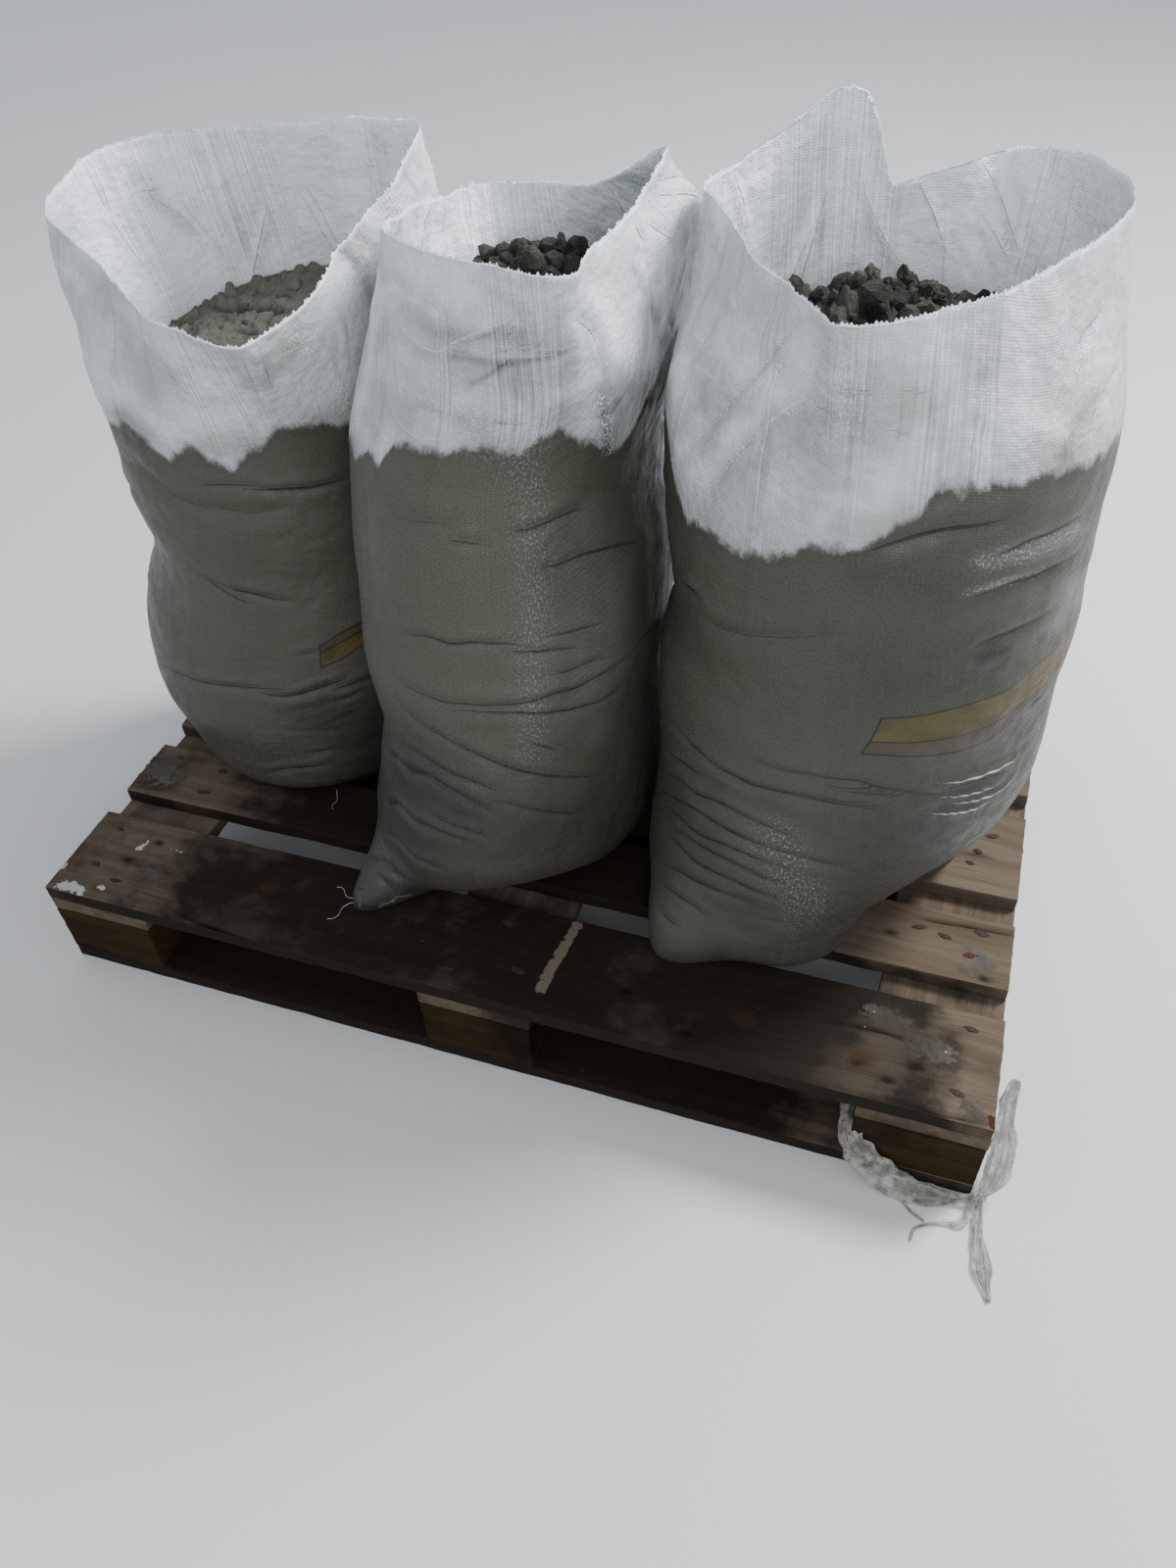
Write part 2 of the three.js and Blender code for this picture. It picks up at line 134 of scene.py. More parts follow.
# Stations: height, middle and half sizes. Bulges: bearing, height, reach, spread in degrees and rise.
# Corner: bearing and spread in degrees. Rim: places along the cut edge.
SACKS = {
    "left": {
        "stations": rows_of("""
            144,-408,46,214,206 200,-410,48,216,216 260,-410,50,222,226 320,-408,52,218,222 389,-402,55,208,212
            485,-385,65,193,205 541,-388,62,198,205 641,-390,60,196,200 700,-392,55,199,199"""),
        "bulges": rows_of("285,150,16,40,50 225,190,-14,30,60 188,790,16,32,60 30,840,34,26,60"),
        "corner": None,
        "rim": rows_of("""
            -264,-158,796 -293,-164,800 -330,-157,804 -354,-155,808 -404,-124,812 -443,-94,818 -476,-71,825
            -525,-45,838 -570,-19,852 -606,61,858 -606,121,868 -562,171,876 -482,190,882 -425,204,885 -364,223,888
            -326,234,890 -266,222,893 -226,213,897 -196,124,890 -193,78,875 -210,54,858 -219,25,845 -227,-1,835
            -227,-55,815 -235,-84,805 -249,-122,798"""),
        "rim_centre": (-395, 25),
    },
    "middle": {
        "stations": rows_of("""
            144,-52,-78,176,220 200,-49,-75,179,235 311,-39,-70,167,235 397,-33,-62,157,235 469,-35,-55,170,235
            539,-29,-48,176,230 626,-39,-40,160,225 708,-36,-30,156,215 780,-14,-22,156,205"""),
        "bulges": rows_of("240,144,73,11,55 290,144,-58,30,60 28,865,80,24,60 10,755,10,40,60 5,480,14,30,75"),
        "corner": (240, 11),
        "rim": rows_of("""
            -93,-143,912 -59,-161,910 -20,-178,910 7,-184,910 30,-188,910 54,-198,911 86,-197,910 99,-185,908
            92,-147,904 93,-102,903 101,-75,908 109,-29,918 117,35,940 63,78,905 25,117,880 -13,152,862 -81,177,853
            -141,165,850 -162,130,850 -166,70,860 -150,-10,875 -120,-85,895"""),
        "rim_centre": (-25, -5),
    },
    "right": {
        "stations": rows_of("""
            144,338,-62,196,212 188,335,-58,204,220 321,352,-50,211,224 400,356,-46,215,226 480,355,-42,214,226
            550,364,-38,209,226 640,355,-34,210,224 725,353,-28,211,218 768,352,-24,210,214"""),
        "bulges": rows_of("236,144,52,16,70 275,150,14,26,60 320,180,-76,34,100 178,800,12,36,60"),
        "corner": (236, 16),
        "rim": rows_of("""
            158,8,915 167,0,914 194,-39,908 216,-79,906 241,-125,905 263,-145,903 288,-181,903 306,-204,903
            323,-224,904 363,-219,907 396,-198,912 429,-176,915 466,-133,921 485,-95,922 507,-50,923 522,-11,924
            528,49,924 513,119,918 492,173,912 467,204,906 418,240,895 386,222,888 361,210,882 336,197,877
            312,181,874 295,179,915 275,194,952 260,197,955 246,197,953 221,179,938 198,160,922 177,131,912
            162,99,905"""),
        "rim_centre": (345, -10),
    },
}


def monotone(keys, rows, at):
    """Smooth lookup that never overshoots: rows of values at ascending keys, read at many places."""
    x = np.asarray(keys, float)
    y = np.asarray(rows, float)
    h = np.diff(x)[:, None]
    slope = np.diff(y, axis=0) / h
    tangent = np.zeros_like(y)
    same = slope[:-1] * slope[1:] > 0
    mean = 3 * (h[:-1] + h[1:]) / (
        (2 * h[1:] + h[:-1]) / np.where(same, slope[:-1], 1) + (h[1:] + 2 * h[:-1]) / np.where(same, slope[1:], 1)
    )
    tangent[1:-1] = np.where(same, mean, 0)
    tangent[0], tangent[-1] = slope[0], slope[-1]
    at = np.clip(np.asarray(at, float), x[0], x[-1])
    i = np.clip(np.searchsorted(x, at, side="right") - 1, 0, len(x) - 2)
    step = h[i, 0]
    t = ((at - x[i]) / step)[..., None]
    step = step[..., None]
    return (
        (1 + 2 * t) * (1 - t) ** 2 * y[i]
        + t * (1 - t) ** 2 * step * tangent[i]
        + t * t * (3 - 2 * t) * y[i + 1]
        + t * t * (t - 1) * step * tangent[i + 1]
    )


def smoothstep(low, high, value):
    t = np.clip((value - low) / (high - low), 0, 1)
    return t * t * (3 - 2 * t)


def lattice_noise(points, seed):
    """Smooth gradient noise, about -1 to 1, one cell per unit."""
    p = np.asarray(points, float)
    cell = np.floor(p).astype(np.int64)
    f = p - cell
    w = f * f * f * (f * (f * 6 - 15) + 10)
    total = np.zeros(p.shape[:-1])
    for corner in range(8):
        offset = np.array([corner & 1, corner >> 1 & 1, corner >> 2 & 1])
        c = cell + offset
        mixed = (c[..., 0] * 73856093) ^ (c[..., 1] * 19349663) ^ (c[..., 2] * 83492791) ^ (seed * 2654435)
        mixed = (mixed ^ (mixed >> 13)) * 1274126177 & 0x7FFFFFFF
        turn = (mixed & 0xFFFF) / 65536 * 2 * math.pi
        up = (mixed >> 15 & 0xFFFF) / 65536 * 2 - 1
        flat = np.sqrt(1 - up * up)
        d = f - offset
        dot = flat * np.cos(turn) * d[..., 0] + flat * np.sin(turn) * d[..., 1] + up * d[..., 2]
        weight = np.prod(np.where(offset == 1, w, 1 - w), axis=-1)
        total += weight * dot
    return total * 1.6


# The form of the sacks


def pressed(name, x, y, z):
    """Neighbouring sacks press each other flat, as in the solids."""

    def squeeze(x, contact, side):
        middle, slope, lean = contact
        plane = middle + slope * y + lean * np.maximum(0, z - CONTACT_LEAN_FROM)
        depth = side * (plane - x)
        reach = SQUEEZE_DEPTH - SACK_GAP
        drawn = SACK_GAP + reach * np.exp((depth - SQUEEZE_DEPTH) / reach)
        return np.where(depth > SQUEEZE_DEPTH, x, plane - side * drawn)

    if name == "left":
        return squeeze(x, LEFT_CONTACT, 1)
    if name == "right":
        return squeeze(x, RIGHT_CONTACT, -1)
    return squeeze(squeeze(x, LEFT_CONTACT, -1), RIGHT_CONTACT, 1)


def bulge_at(sack, bearing, z):
    out = 0
    for at, height, reach, spread, rise in sack["bulges"]:
        off = turn_from(at, bearing)
        out = out + reach * np.exp(-((off / spread) ** 2) - ((z - height) / rise) ** 2)
    return out


def corner_share(sack, bearing):
    if not sack["corner"]:
        return 0 * bearing
    at, spread = sack["corner"]
    return bell(turn_from(at, bearing) / spread)


def body_points(name, bearing, z):
    """The filled part of a sack, in millimetres, for arrays of bearings and heights."""
    sack = SACKS[name]
    rows = sack["stations"]
    cx, cy, half_x, half_y = np.moveaxis(monotone([r[0] for r in rows], [r[1:] for r in rows], z), -1, 0)
    angle = np.radians(bearing)
    oval = 1 / np.hypot(np.cos(angle) / half_x, np.sin(angle) / half_y)
    rounding = monotone([r[0] for r in BOTTOM_ROUND], [[r[1]] for r in BOTTOM_ROUND], z - DECK_Z)[..., 0]
    radius = oval + bulge_at(sack, bearing, z) - rounding * (1 - corner_share(sack, bearing))
    x = cx + radius * np.cos(angle)
    y = cy + radius * np.sin(angle)
    return np.stack([pressed(name, x, y, z), y, z], axis=-1)


def rim_points(name, bearing):
    sack = SACKS[name]
    cx, cy = sack["rim_centre"]
    rows = sorted(
        (math.degrees(math.atan2(y - cy, x - cx)) % 360, math.hypot(x - cx, y - cy), z) for x, y, z in sack["rim"]
    )
    rows = [(r[0] - 360, *r[1:]) for r in rows[-2:]] + rows + [(r[0] + 360, *r[1:]) for r in rows[:2]]
    found = monotone([r[0] for r in rows], [r[1:] for r in rows], bearing % 360)
    angle = np.radians(bearing)
    return np.stack([cx + found[..., 0] * np.cos(angle), cy + found[..., 0] * np.sin(angle), found[..., 1]], axis=-1)


def free_points(name, bearing, share):
    """The loose fabric above the sand: share 0 at the filled outline, 1 at the cut edge."""
    sack = SACKS[name]
    top = sack["stations"][-1][0]
    low = body_points(name, bearing, np.full_like(bearing, top))
    point = low + (rim_points(name, bearing) - low) * share[..., None]
    angle = np.radians(bearing)
    out = bulge_at(sack, bearing, point[..., 2]) * (1 - share**3) - bulge_at(sack, bearing, top) * (1 - share)
    x = point[..., 0] + out * np.cos(angle)
    y = point[..., 1] + out * np.sin(angle)
    return np.stack([pressed(name, x, y, point[..., 2]), y, point[..., 2]], axis=-1)


def trace_rays(pixels):
    """Directions from the eye through pixels of the photograph."""
    p = np.asarray(pixels, float)
    across = (p[..., :1] - FRAME_PX[0] / 2) / FOCAL_PX
    down = (p[..., 1:] - FRAME_PX[1] / 2) / FOCAL_PX
    return unit(LOOK_AHEAD + across * LOOK_RIGHT + down * LOOK_DOWN)


def pixels_at(points):
    """Where points in millimetres lie in the photograph, and the way from the eye to them in metres."""
    away = points / 1000 - EYE
    ahead = away @ LOOK_AHEAD
    pixels = np.stack([away @ LOOK_RIGHT, away @ LOOK_DOWN], axis=-1) * (FOCAL_PX / ahead)[..., None]
    return pixels + np.array(FRAME_PX) / 2, away


def normals_of(grid):
    """Outward directions on a grid whose rows go up and whose columns go round."""
    along = np.roll(grid, -1, axis=1) - np.roll(grid, 1, axis=1)
    upward = np.gradient(grid, axis=0)
    return unit(np.cross(along, upward))


def strips(index, around=True):
    """Quads between neighbouring rows of an index grid."""
    right = np.roll(index, -1, axis=1) if around else index[:, 1:]
    left = index if around else index[:, :-1]
    return np.stack([left[:-1], right[:-1], right[1:], left[1:]], axis=-1).reshape(-1, 4)


def surface_tree(grid):
    """A grid that goes round a sack, as a surface for rays."""
    index = np.arange(grid.shape[0] * grid.shape[1]).reshape(grid.shape[:2])
    return BVHTree.FromPolygons((grid.reshape(-1, 3) / 1000).tolist(), strips(index).tolist())


class Sack:
    """One sack's fabric as a grid: rows from the deck up to the cut edge, columns round the bearings."""

    def __init__(self, name, columns, body_rows, free_rows):
        self.name = name
        self.seed = sorted(SACKS).index(name) + 1
        self.body_rows = body_rows
        self.columns = columns
        self.bearing = np.arange(columns) * 360.0 / columns
        self.top = SACKS[name]["stations"][-1][0]
        z = DECK_Z + (self.top - DECK_Z) * np.linspace(0, 1, body_rows) ** 1.06
        bearing, height = np.meshgrid(self.bearing, z)
        body = body_points(name, bearing, height)
        bearing, share = np.meshgrid(self.bearing, np.arange(1, free_rows + 1) / free_rows)
        self.grid = np.concatenate([body, free_points(name, bearing, share)])
        self.soften_shoulder()
        self.place_cloth()

    def soften_shoulder(self):
        """The fabric leaves the sand in a curve, not in a fold."""
        rows = len(self.grid)
        near = bell((np.arange(rows) - self.body_rows) / 8.0)[:, None, None]
        near[[0, -1]] = 0
        for _ in range(60):
            mean = (np.roll(self.grid, 1, axis=0) + np.roll(self.grid, -1, axis=0)) / 2
            self.grid += 0.7 * near * (mean - self.grid)

    def place_cloth(self):
        """Flat coordinates of the cloth in millimetres: across the tapes going round, and up the sack."""
        self.across = np.radians(self.bearing) * WRAP_RADIUS * 1000
        self.round = 2 * math.pi * WRAP_RADIUS * 1000
        steps = np.linalg.norm(np.diff(self.grid, axis=0), axis=-1)
        self.up = np.concatenate([np.zeros((1, self.columns)), np.cumsum(steps, axis=0)])

    def trace(self, tree, pixels):
        """Flat cloth coordinates of what the camera sees of this sack at pixels of the photograph."""
        found, last = [], None
        for way in trace_rays(pixels):
            hit, _, face, _ = tree.ray_cast(Vector(EYE), Vector(way))
            if hit is None or last and (hit - last).length > LARGEST_JUMP:
                continue
            last = hit
            row, column = divmod(face, self.columns)
            beside = (column + 1) % self.columns
            a, b, c = self.grid[row, column], self.grid[row, beside], self.grid[row + 1, column]
            at = np.array(hit) * 1000 - a
            s = np.clip(at @ (b - a) / max((b - a) @ (b - a), 1e-9), 0, 1)
            t = np.clip(at @ (c - a) / max((c - a) @ (c - a), 1e-9), 0, 1)
            across = self.across[column] + s * self.round / self.columns
            up = self.up[row, column] + t * (self.up[row + 1, column] - self.up[row, column])
            if found:
                across += round((found[-1][0] - across) / self.round) * self.round
            found.append((across, up))
        return np.array(found)

    def around(self, line, margin):
        """The part of the grid near a line on the cloth: index arrays and its flat coordinates."""
        low, high = line.min(axis=0) - margin, line.max(axis=0) + margin
        turns = np.round((line[:, 0].mean() - self.across) / self.round) * self.round
        across = self.across + turns
        columns = np.where((across > low[0]) & (across < high[0]))[0]
        if not len(columns):
            return None
        inside = (self.up[:, columns] > low[1]) & (self.up[:, columns] < high[1])
        rows, picked = np.where(inside)
        if not len(rows):
            return None
        columns = columns[picked]
        return rows, columns, np.stack([across[columns], self.up[rows, columns]], axis=-1)


def along_line(line, points):
    """Signed distance of points from a line on the cloth, positive above it, and how far along they lie."""
    a, b = line[:-1], line[1:]
    span = b - a
    length = np.maximum(np.linalg.norm(span, axis=1), 1e-6)
    rel = points[:, None] - a[None]
    t = np.clip((rel * span).sum(-1) / length**2, 0, 1)
    gap = rel - t[..., None] * span
    distance = np.linalg.norm(gap, axis=-1)
    best = distance.argmin(axis=1)
    pick = np.arange(len(points))
    side = np.sign(span[best, 0] * rel[pick, best, 1] - span[best, 1] * rel[pick, best, 0])
    leftward = np.sign(span[best, 0])
    leftward[leftward == 0] = 1
    start = np.concatenate([[0], np.cumsum(length)])
    share = (start[best] + t[pick, best] * length[best]) / start[-1]
    return side * leftward * distance[pick, best], share


def smooth_line(line, step=6.0):
    """The same line through more points, rounded at its corners."""
    line = np.asarray(line, float)
    if len(line) < 3:
        return line
    length = lengths_along(line)
    count = max(3, int(length[-1] / step))
    return monotone(length, line, np.linspace(0, length[-1], count))


def lay_fold(sack, out, folds, layer, line, depth, width):
    """Presses one crease into the cloth: a narrow valley between two rolls, or a ridge where depth is negative."""
    line = smooth_line(line)
    near = sack.around(line, 4 * width)
    if near is None:
        return
    rows, columns, points = near
    gap, share = along_line(line, points)
    taper = tapered(share, 0.02, 0.55)
    ends = np.minimum(np.linalg.norm(points - line[0], axis=1), np.linalg.norm(points - line[-1], axis=1))
    taper = taper * smoothstep(0, width, ends + width * 0.3)
    valley = np.exp(-((np.abs(gap) / (0.42 * width)) ** 1.4))
    upper = bell((gap - 1.05 * width) / (0.75 * width))
    lower = bell((gap + 1.25 * width) / (0.95 * width))
    out[rows, columns] += depth * taper * (0.55 * upper + 0.25 * lower - valley)
    nearest = np.abs(gap) < np.minimum(14, np.abs(folds[0][rows, columns, layer]))
    rows, columns, gap = rows[nearest], columns[nearest], gap[nearest]
    force = taper[nearest] * np.clip(depth / 4, -1, 1) * (1 - smoothstep(6, 12, np.abs(gap)))
    if width > 13:
        force = 0.35 * force
    folds[0][rows, columns, layer] = gap
    folds[1][rows, columns, layer] = force


# Creases that show in the photograph: depth and width in millimetres, then pixels along each
FOLDS = {
    "left": """
        2.5 9 205,495 235,496 265,496; 4.5 10 255,500 290,500 325,497 355,488; 4 20 120,460 145,480 170,505 200,517
        235,522 260,525 285,518 305,510; 3.5 9 198,580 212,592 225,602 245,613 260,617; 3.5 9 215,590 240,602
        260,607 280,613 298,614; 3 10 165,678 185,690 210,698 240,702 270,704 300,703; 4 9 260,708 290,712 320,705
        340,698 358,690; 3.5 9 340,704 370,695 393,688; 2.5 8 345,715 370,705; 2 8 300,670 325,665; 3 9 270,790
        300,785 340,780; 2.5 8 310,770 345,765; 2.5 9 205,345 220,390 235,440; 2 8 215,350 230,385 245,420; 2 9
        245,360 262,400 275,430; 2 8 262,350 272,375 280,400; 3 16 160,360 180,400 195,440; 2.5 14 112,380 130,410
        165,450; 2.5 12 90,160 110,215 122,260; 2.5 11 140,165 150,195 190,225 200,240; 2.5 10 232,200 245,240
        258,280; 2 8 372,135 378,165 381,198; 2 8 392,135 396,165 398,195; 3 9 360,235 376,243 390,255; 3 9 345,250
        362,262 380,275; 2 9 340,300 352,330 356,370""",
    "middle": """
        3 14 400,527 425,533 445,534 465,538; 2.5 9 455,551 480,555 495,556; 4 12 520,543 545,541 565,534 585,524
        600,522; 4 12 545,582 560,580 575,577 590,570 605,565 630,558 655,552; 4 9 415,646 440,652 460,658 485,656
        510,657 535,659; 5 9 520,665 545,667 565,665 590,662; 3 9 555,650 575,648 600,641 620,637; 6 12 404,690
        430,708 455,718 480,720 510,721 540,718 565,712 590,705 610,693 635,677 655,655 670,640; 4 9 455,724 490,727
        520,728 560,729 590,724 620,712 635,700; 3 8 560,690 585,685 605,676 620,672; 5 11 410,720 430,740 450,753
        475,766 500,777 525,786 545,791 570,795 600,794 620,790; 4 9 415,762 435,775 460,790 485,799 510,807; 5 10
        397,770 410,780 440,795 470,812 490,822 505,830; 3 8 500,815 520,820 545,827 575,831 600,830; 4.5 9 392,810
        400,822 420,835 440,845 460,853 480,860; 3 8 440,830 470,846 490,852 500,857; 4 8 395,850 415,866 435,880
        450,885; 4 8 378,868 390,882 410,895 420,900; 3 7 380,888 395,905 405,915; 3 9 540,757 555,763 570,767; 3 14
        405,290 440,310 450,325 425,355; 2.5 12 455,350 490,345 520,330 560,310; 2.5 12 455,355 490,362 520,358
        585,355; 2 9 485,390 510,375 530,362; 1.5 9 500,430 530,435; 2 8 525,285 528,350 526,425; 5 14 588,283
        590,320 610,350 620,400; -2.5 9 401,302 416,338 443,358 466,348 500,333 538,321; -2 8 466,350 493,359
        523,363 577,358; -2 8 397,394 405,424 428,446 466,443; 1.4 7 527,280 530,350 529,445; 1.2 7 538,281 541,350
        540,445; 2.5 8 615,400 617,430 622,462; 3 10 612,245 625,265 645,300 670,330; 2.2 7 656,186 672,185 688,190;
        2.2 7 650,204 672,200 692,201; 2 7 638,213 660,213 679,215; 2.6 7 645,228 651,240 657,247; 2.2 7 660,229
        675,238 689,250; 3 7 617,239 622,255 628,279; 2.5 10 600,430 625,420 640,400""",
    "right": """
        4.5 10 684,735 700,757 715,770 735,787 760,800 785,807 815,813 840,819 870,824 900,828; 3.5 8 680,768
        700,783 715,790; 4.5 9 680,790 705,808 730,820 760,836 790,848 810,858; 5 10 672,803 690,818 715,832 745,850
        780,866 810,875 840,882 860,885; 4 8 673,820 700,842 725,858 760,872 790,884 800,888; 4 9 680,845 710,862
        740,878 770,893 800,905; 4 8 675,850 700,872 730,893 765,908 790,917; 3.5 8 675,880 700,895 730,910 760,920;
        3 8 675,900 695,917 720,935; 2.5 8 672,925 690,945; 3.5 14 700,615 720,630 735,642 760,650 790,653 820,653
        850,648 880,650; 5 9 685,580 695,597 715,610; 3 8 765,775 800,787 840,794 870,797 900,805 940,810 970,811;
        -3.5 7 962,798 1000,790 1022,782 1037,774; 3 8 960,806 1000,798 1035,784; -3 7 958,813 985,811 1005,806
        1022,799; -3.5 7 972,820 1000,816 1020,807 1037,789; -3 7 948,829 985,828 1000,824 1012,818; 2.5 8 850,806
        900,812 935,813; 4.5 13 880,565 910,556 940,548 970,541 1000,537 1033,529; 4 11 985,613 1010,606 1040,594
        1070,584 1100,565; 3.5 10 1000,572 1030,562 1060,550 1085,540 1105,525; 3.5 10 990,664 1020,650 1050,638
        1075,622; 6 16 822,318 770,380 710,450 690,480; 5 14 838,400 790,430 760,455 720,500; 1.6 7 862,340 866,400
        858,475; 1.4 7 872,345 875,400 866,470; 1.6 7 925,338 921,380 918,440 905,480; 1.4 7 936,336 934,400
        920,482; 1.8 7 1009,322 1003,380 996,440 985,478; 1.5 7 1016,322 1014,370 1006,430 992,482; 1.2 7 845,352
        843,420 828,470; 1.2 7 812,430 802,480 792,515; -3 8 835,400 800,418 768,450 738,490; -2 9 812,345 785,378
        760,402; -2.5 9 1128,300 1112,350 1092,402; 3 12 935,185 955,230 965,260; 3 12 975,170 1000,220 1030,270;
        2.5 10 1000,165 1030,230 1040,260; 4.5 16 868,98 880,180 900,230 930,290; 3 10 1130,300 1100,360 1075,430; 3
        10 1145,360 1120,420 1105,470; 3 9 748,175 756,205 762,232""",
}

# Where damp from the sand ends, in pixels along the line
DAMP_LINE = {
    "left": "112,432 129,432 156,456 173,470 194,454 211,467 235,481 255,459 272,453 285,434 355,433",
    "middle": """
        357,445 375,465 387,475 393,465 404,451 425,455 440,462 455,465 465,457 480,462 500,458 515,463 530,466
        547,454 566,438 582,445 600,455 632,459 659,410 682,420""",
    "right": """
        702,531 723,542 762,567 796,569 827,556 869,563 903,550 938,523 957,500 1003,498 1041,491 1079,481""",
}
DAMP_HEIGHT = {"left": 690, "middle": 780, "right": 760}

# Printed bands: pixels along the edge beside the wider strip and along the other edge, from the left end
BAND = {
    "left": ("327,682 350,673 368,660", "325,659 345,647 366,636"),
    "right": ("898,732 942,730 989,718 1030,702 1056,680", "877,771 923,773 970,769 1014,752 1048,724"),
}

# Painted light and shade on the cloth (with a few darker damp patches), painted glints and spattered dirt: strength,
# width and pixels along each mark
PAINTED_LIGHT_AND_SHADE = {
    "left": """
        0.5 24 335,285 350,330 342,385; 0.5 12 390,205 420,225 435,245; 0.6 7 430,135 443,170 450,192; -0.3 7
        410,175 430,195; -0.3 4 358,236 386,252; -0.25 4 345,252 374,270; -0.2 30 100,300 130,360 170,410; -0.35 12
        122,425 145,445; 0.3 9 182,440 192,446; -0.45 36 330,725 375,740 380,790; -0.3 5 372,285 384,320 382,350""",
    "left inside": """
        0.4 14 85,170 90,250; -0.22 8 140,180 165,210 195,235; -0.12 15 335,160 345,205; 0.3 4 348,188 363,208
        380,222; -0.15 12 385,140 390,200; -0.15 5 228,190 240,225 262,275""",
    "middle": """
        -0.28 9 416,314 445,338 473,344; -0.26 9 495,343 540,338; -0.35 4 462,363 512,371 575,360; -0.25 4 481,392
        513,375; -0.15 5 400,300 422,340; -0.15 5 432,413 474,428 531,432; 0.12 25 560,380 590,400; -0.2 4 588,283
        594,333 607,363 623,394 632,420; 0.45 22 612,300 640,340 662,362; 0.5 20 625,250 680,215 705,190; -0.3 4
        640,262 660,300 670,325; -0.35 8 615,400 618,430 622,460; 0.2 5 389,296 382,333 370,394 361,440; -0.15 12
        393,256 387,314 390,350; -0.5 42 425,790 470,830; -0.3 40 540,850 600,840; 0.012 24 540,490 545,600 545,770;
        0.025 32 604,520 610,640 604,740; -0.12 25 650,400 670,430; -0.34 60 420,385 520,400 600,390; -0.8 11
        668,470 682,530 688,570 676,610""",
    "middle inside": "-0.2 9 455,225 470,255; -0.15 10 585,215 605,230; -0.1 8 545,240 555,260",
    "right": """
        0.22 14 825,365 790,400 750,440 715,485; -0.14 30 760,280 740,340 712,420; 0.15 8 705,215 700,300 690,400;
        0.5 9 1045,413 1062,428 1080,436; -0.3 7 1120,400 1100,430 1085,470; -0.12 14 1095,330 1060,385; -0.18 5
        950,412 955,434; -0.15 9 1003,340 1000,400 990,470; -0.15 25 1040,450 1080,470; 0.05 9 1000,575 1050,562
        1100,540; 0.08 4 985,606 1015,597 1065,582; 0.06 12 1040,665 1075,635 1100,590; -0.45 5 1000,672 1030,661;
        -0.35 5 1045,592 1090,578; -0.4 60 900,860 960,850; -0.25 26 880,580 960,600; 0.01 25 800,850 830,900; -0.3
        60 1000,700 900,700; -0.36 70 770,450 860,430""",
    "right inside": """
        0.35 5 880,140 890,180 910,220 925,260; -0.14 15 820,140 800,200 790,260; -0.2 3.5 980,178 995,215 1005,250
        1018,280; -0.2 3.5 1008,165 1020,200 1030,240 1040,280; -0.16 3.5 1035,155 1045,200 1052,250; -0.2 4 940,190
        960,225 985,260 1000,290; -0.14 4 1078,155 1080,200; -0.12 20 1095,180 1120,230; 0.2 4 960,190 985,235
        1005,275; 0.2 4 995,175 1012,215 1022,255; -0.16 4 842,120 835,180 838,260""",
}
PAINTED_GLINTS = {
    "left": "0.8 20 305,345 335,370 350,400; 0.9 15 392,200 420,222 432,245; 0.4 12 350,300 365,330",
    "left inside": "0.9 7 124,207 150,222; 0.7 9 110,228 114,250; 0.8 7 135,286 168,281; 0.4 15 95,190 105,215",
    "middle": """
        0.9 17 612,300 630,340 650,370; 0.5 25 640,250 690,210; 0.9 6 613,405 620,458; 0.1 22 540,490 545,600
        545,770; 0.25 30 440,400 520,440""",
    "middle inside": "1 5 484,213 492,228; 1 5 511,211 522,223; 0.9 5 541,206 553,224; 0.4 16 470,230 540,235",
    "right": """
        1 10 1042,412 1062,428 1082,436; 0.9 3 722,379 729,389; 0.9 3 715,349 722,358; 0.7 3 746,298 753,312; 0.6 8
        800,372 770,395; 0.7 6 1128,330 1110,365 1120,400; 0.2 10 1000,575 1050,562 1100,540; 0.25 3 985,606
        1015,597 1065,582; 0.4 14 1095,330 1080,370; 0.15 25 790,860 820,920; 0.3 25 860,380 870,430""",
    "right inside": """
        0.8 9 795,148 775,185 760,205; 0.6 6 940,212 975,245; 0.6 8 1040,285 1010,290; 0.4 8 1068,215 1075,235""",
}
SPATTERS = {
    "left": "0.8 8 168,368 172,380",
    "left inside": "1 8 330,140 342,165; 0.8 12 325,200 300,215",
    "middle": "1 6 482,378 486,389; 0.9 9 533,405 543,428; 1 6 660,390 667,405; 1 3 645,223 647,226",
    "right inside": "1 6 938,240 945,262",
    "right": "0.8 5 846,350 850,358",
}


def mark_field(sack, placed, normal, table, inside=False):
    """How strongly each point of a face that the camera sees lies in the marks of one kind."""
    pixels, away = pixels_at(placed)
    seen = ((normal * away).sum(axis=-1) > 0) == inside
    out = np.zeros(seen.shape)
    for strength, width, line in marks_of(table.get(sack.name + (" inside" if inside else ""), "")):
        line = smooth_line(line, 8.0)
        low, high = line.min(axis=0) - 3 * width, line.max(axis=0) + 3 * width
        near = seen & ((pixels > low) & (pixels < high)).all(axis=-1)
        gap, _ = along_line(line, pixels[near])
        out[near] += strength * bell(gap / width)
    return np.clip(out, -0.85, 0.95)


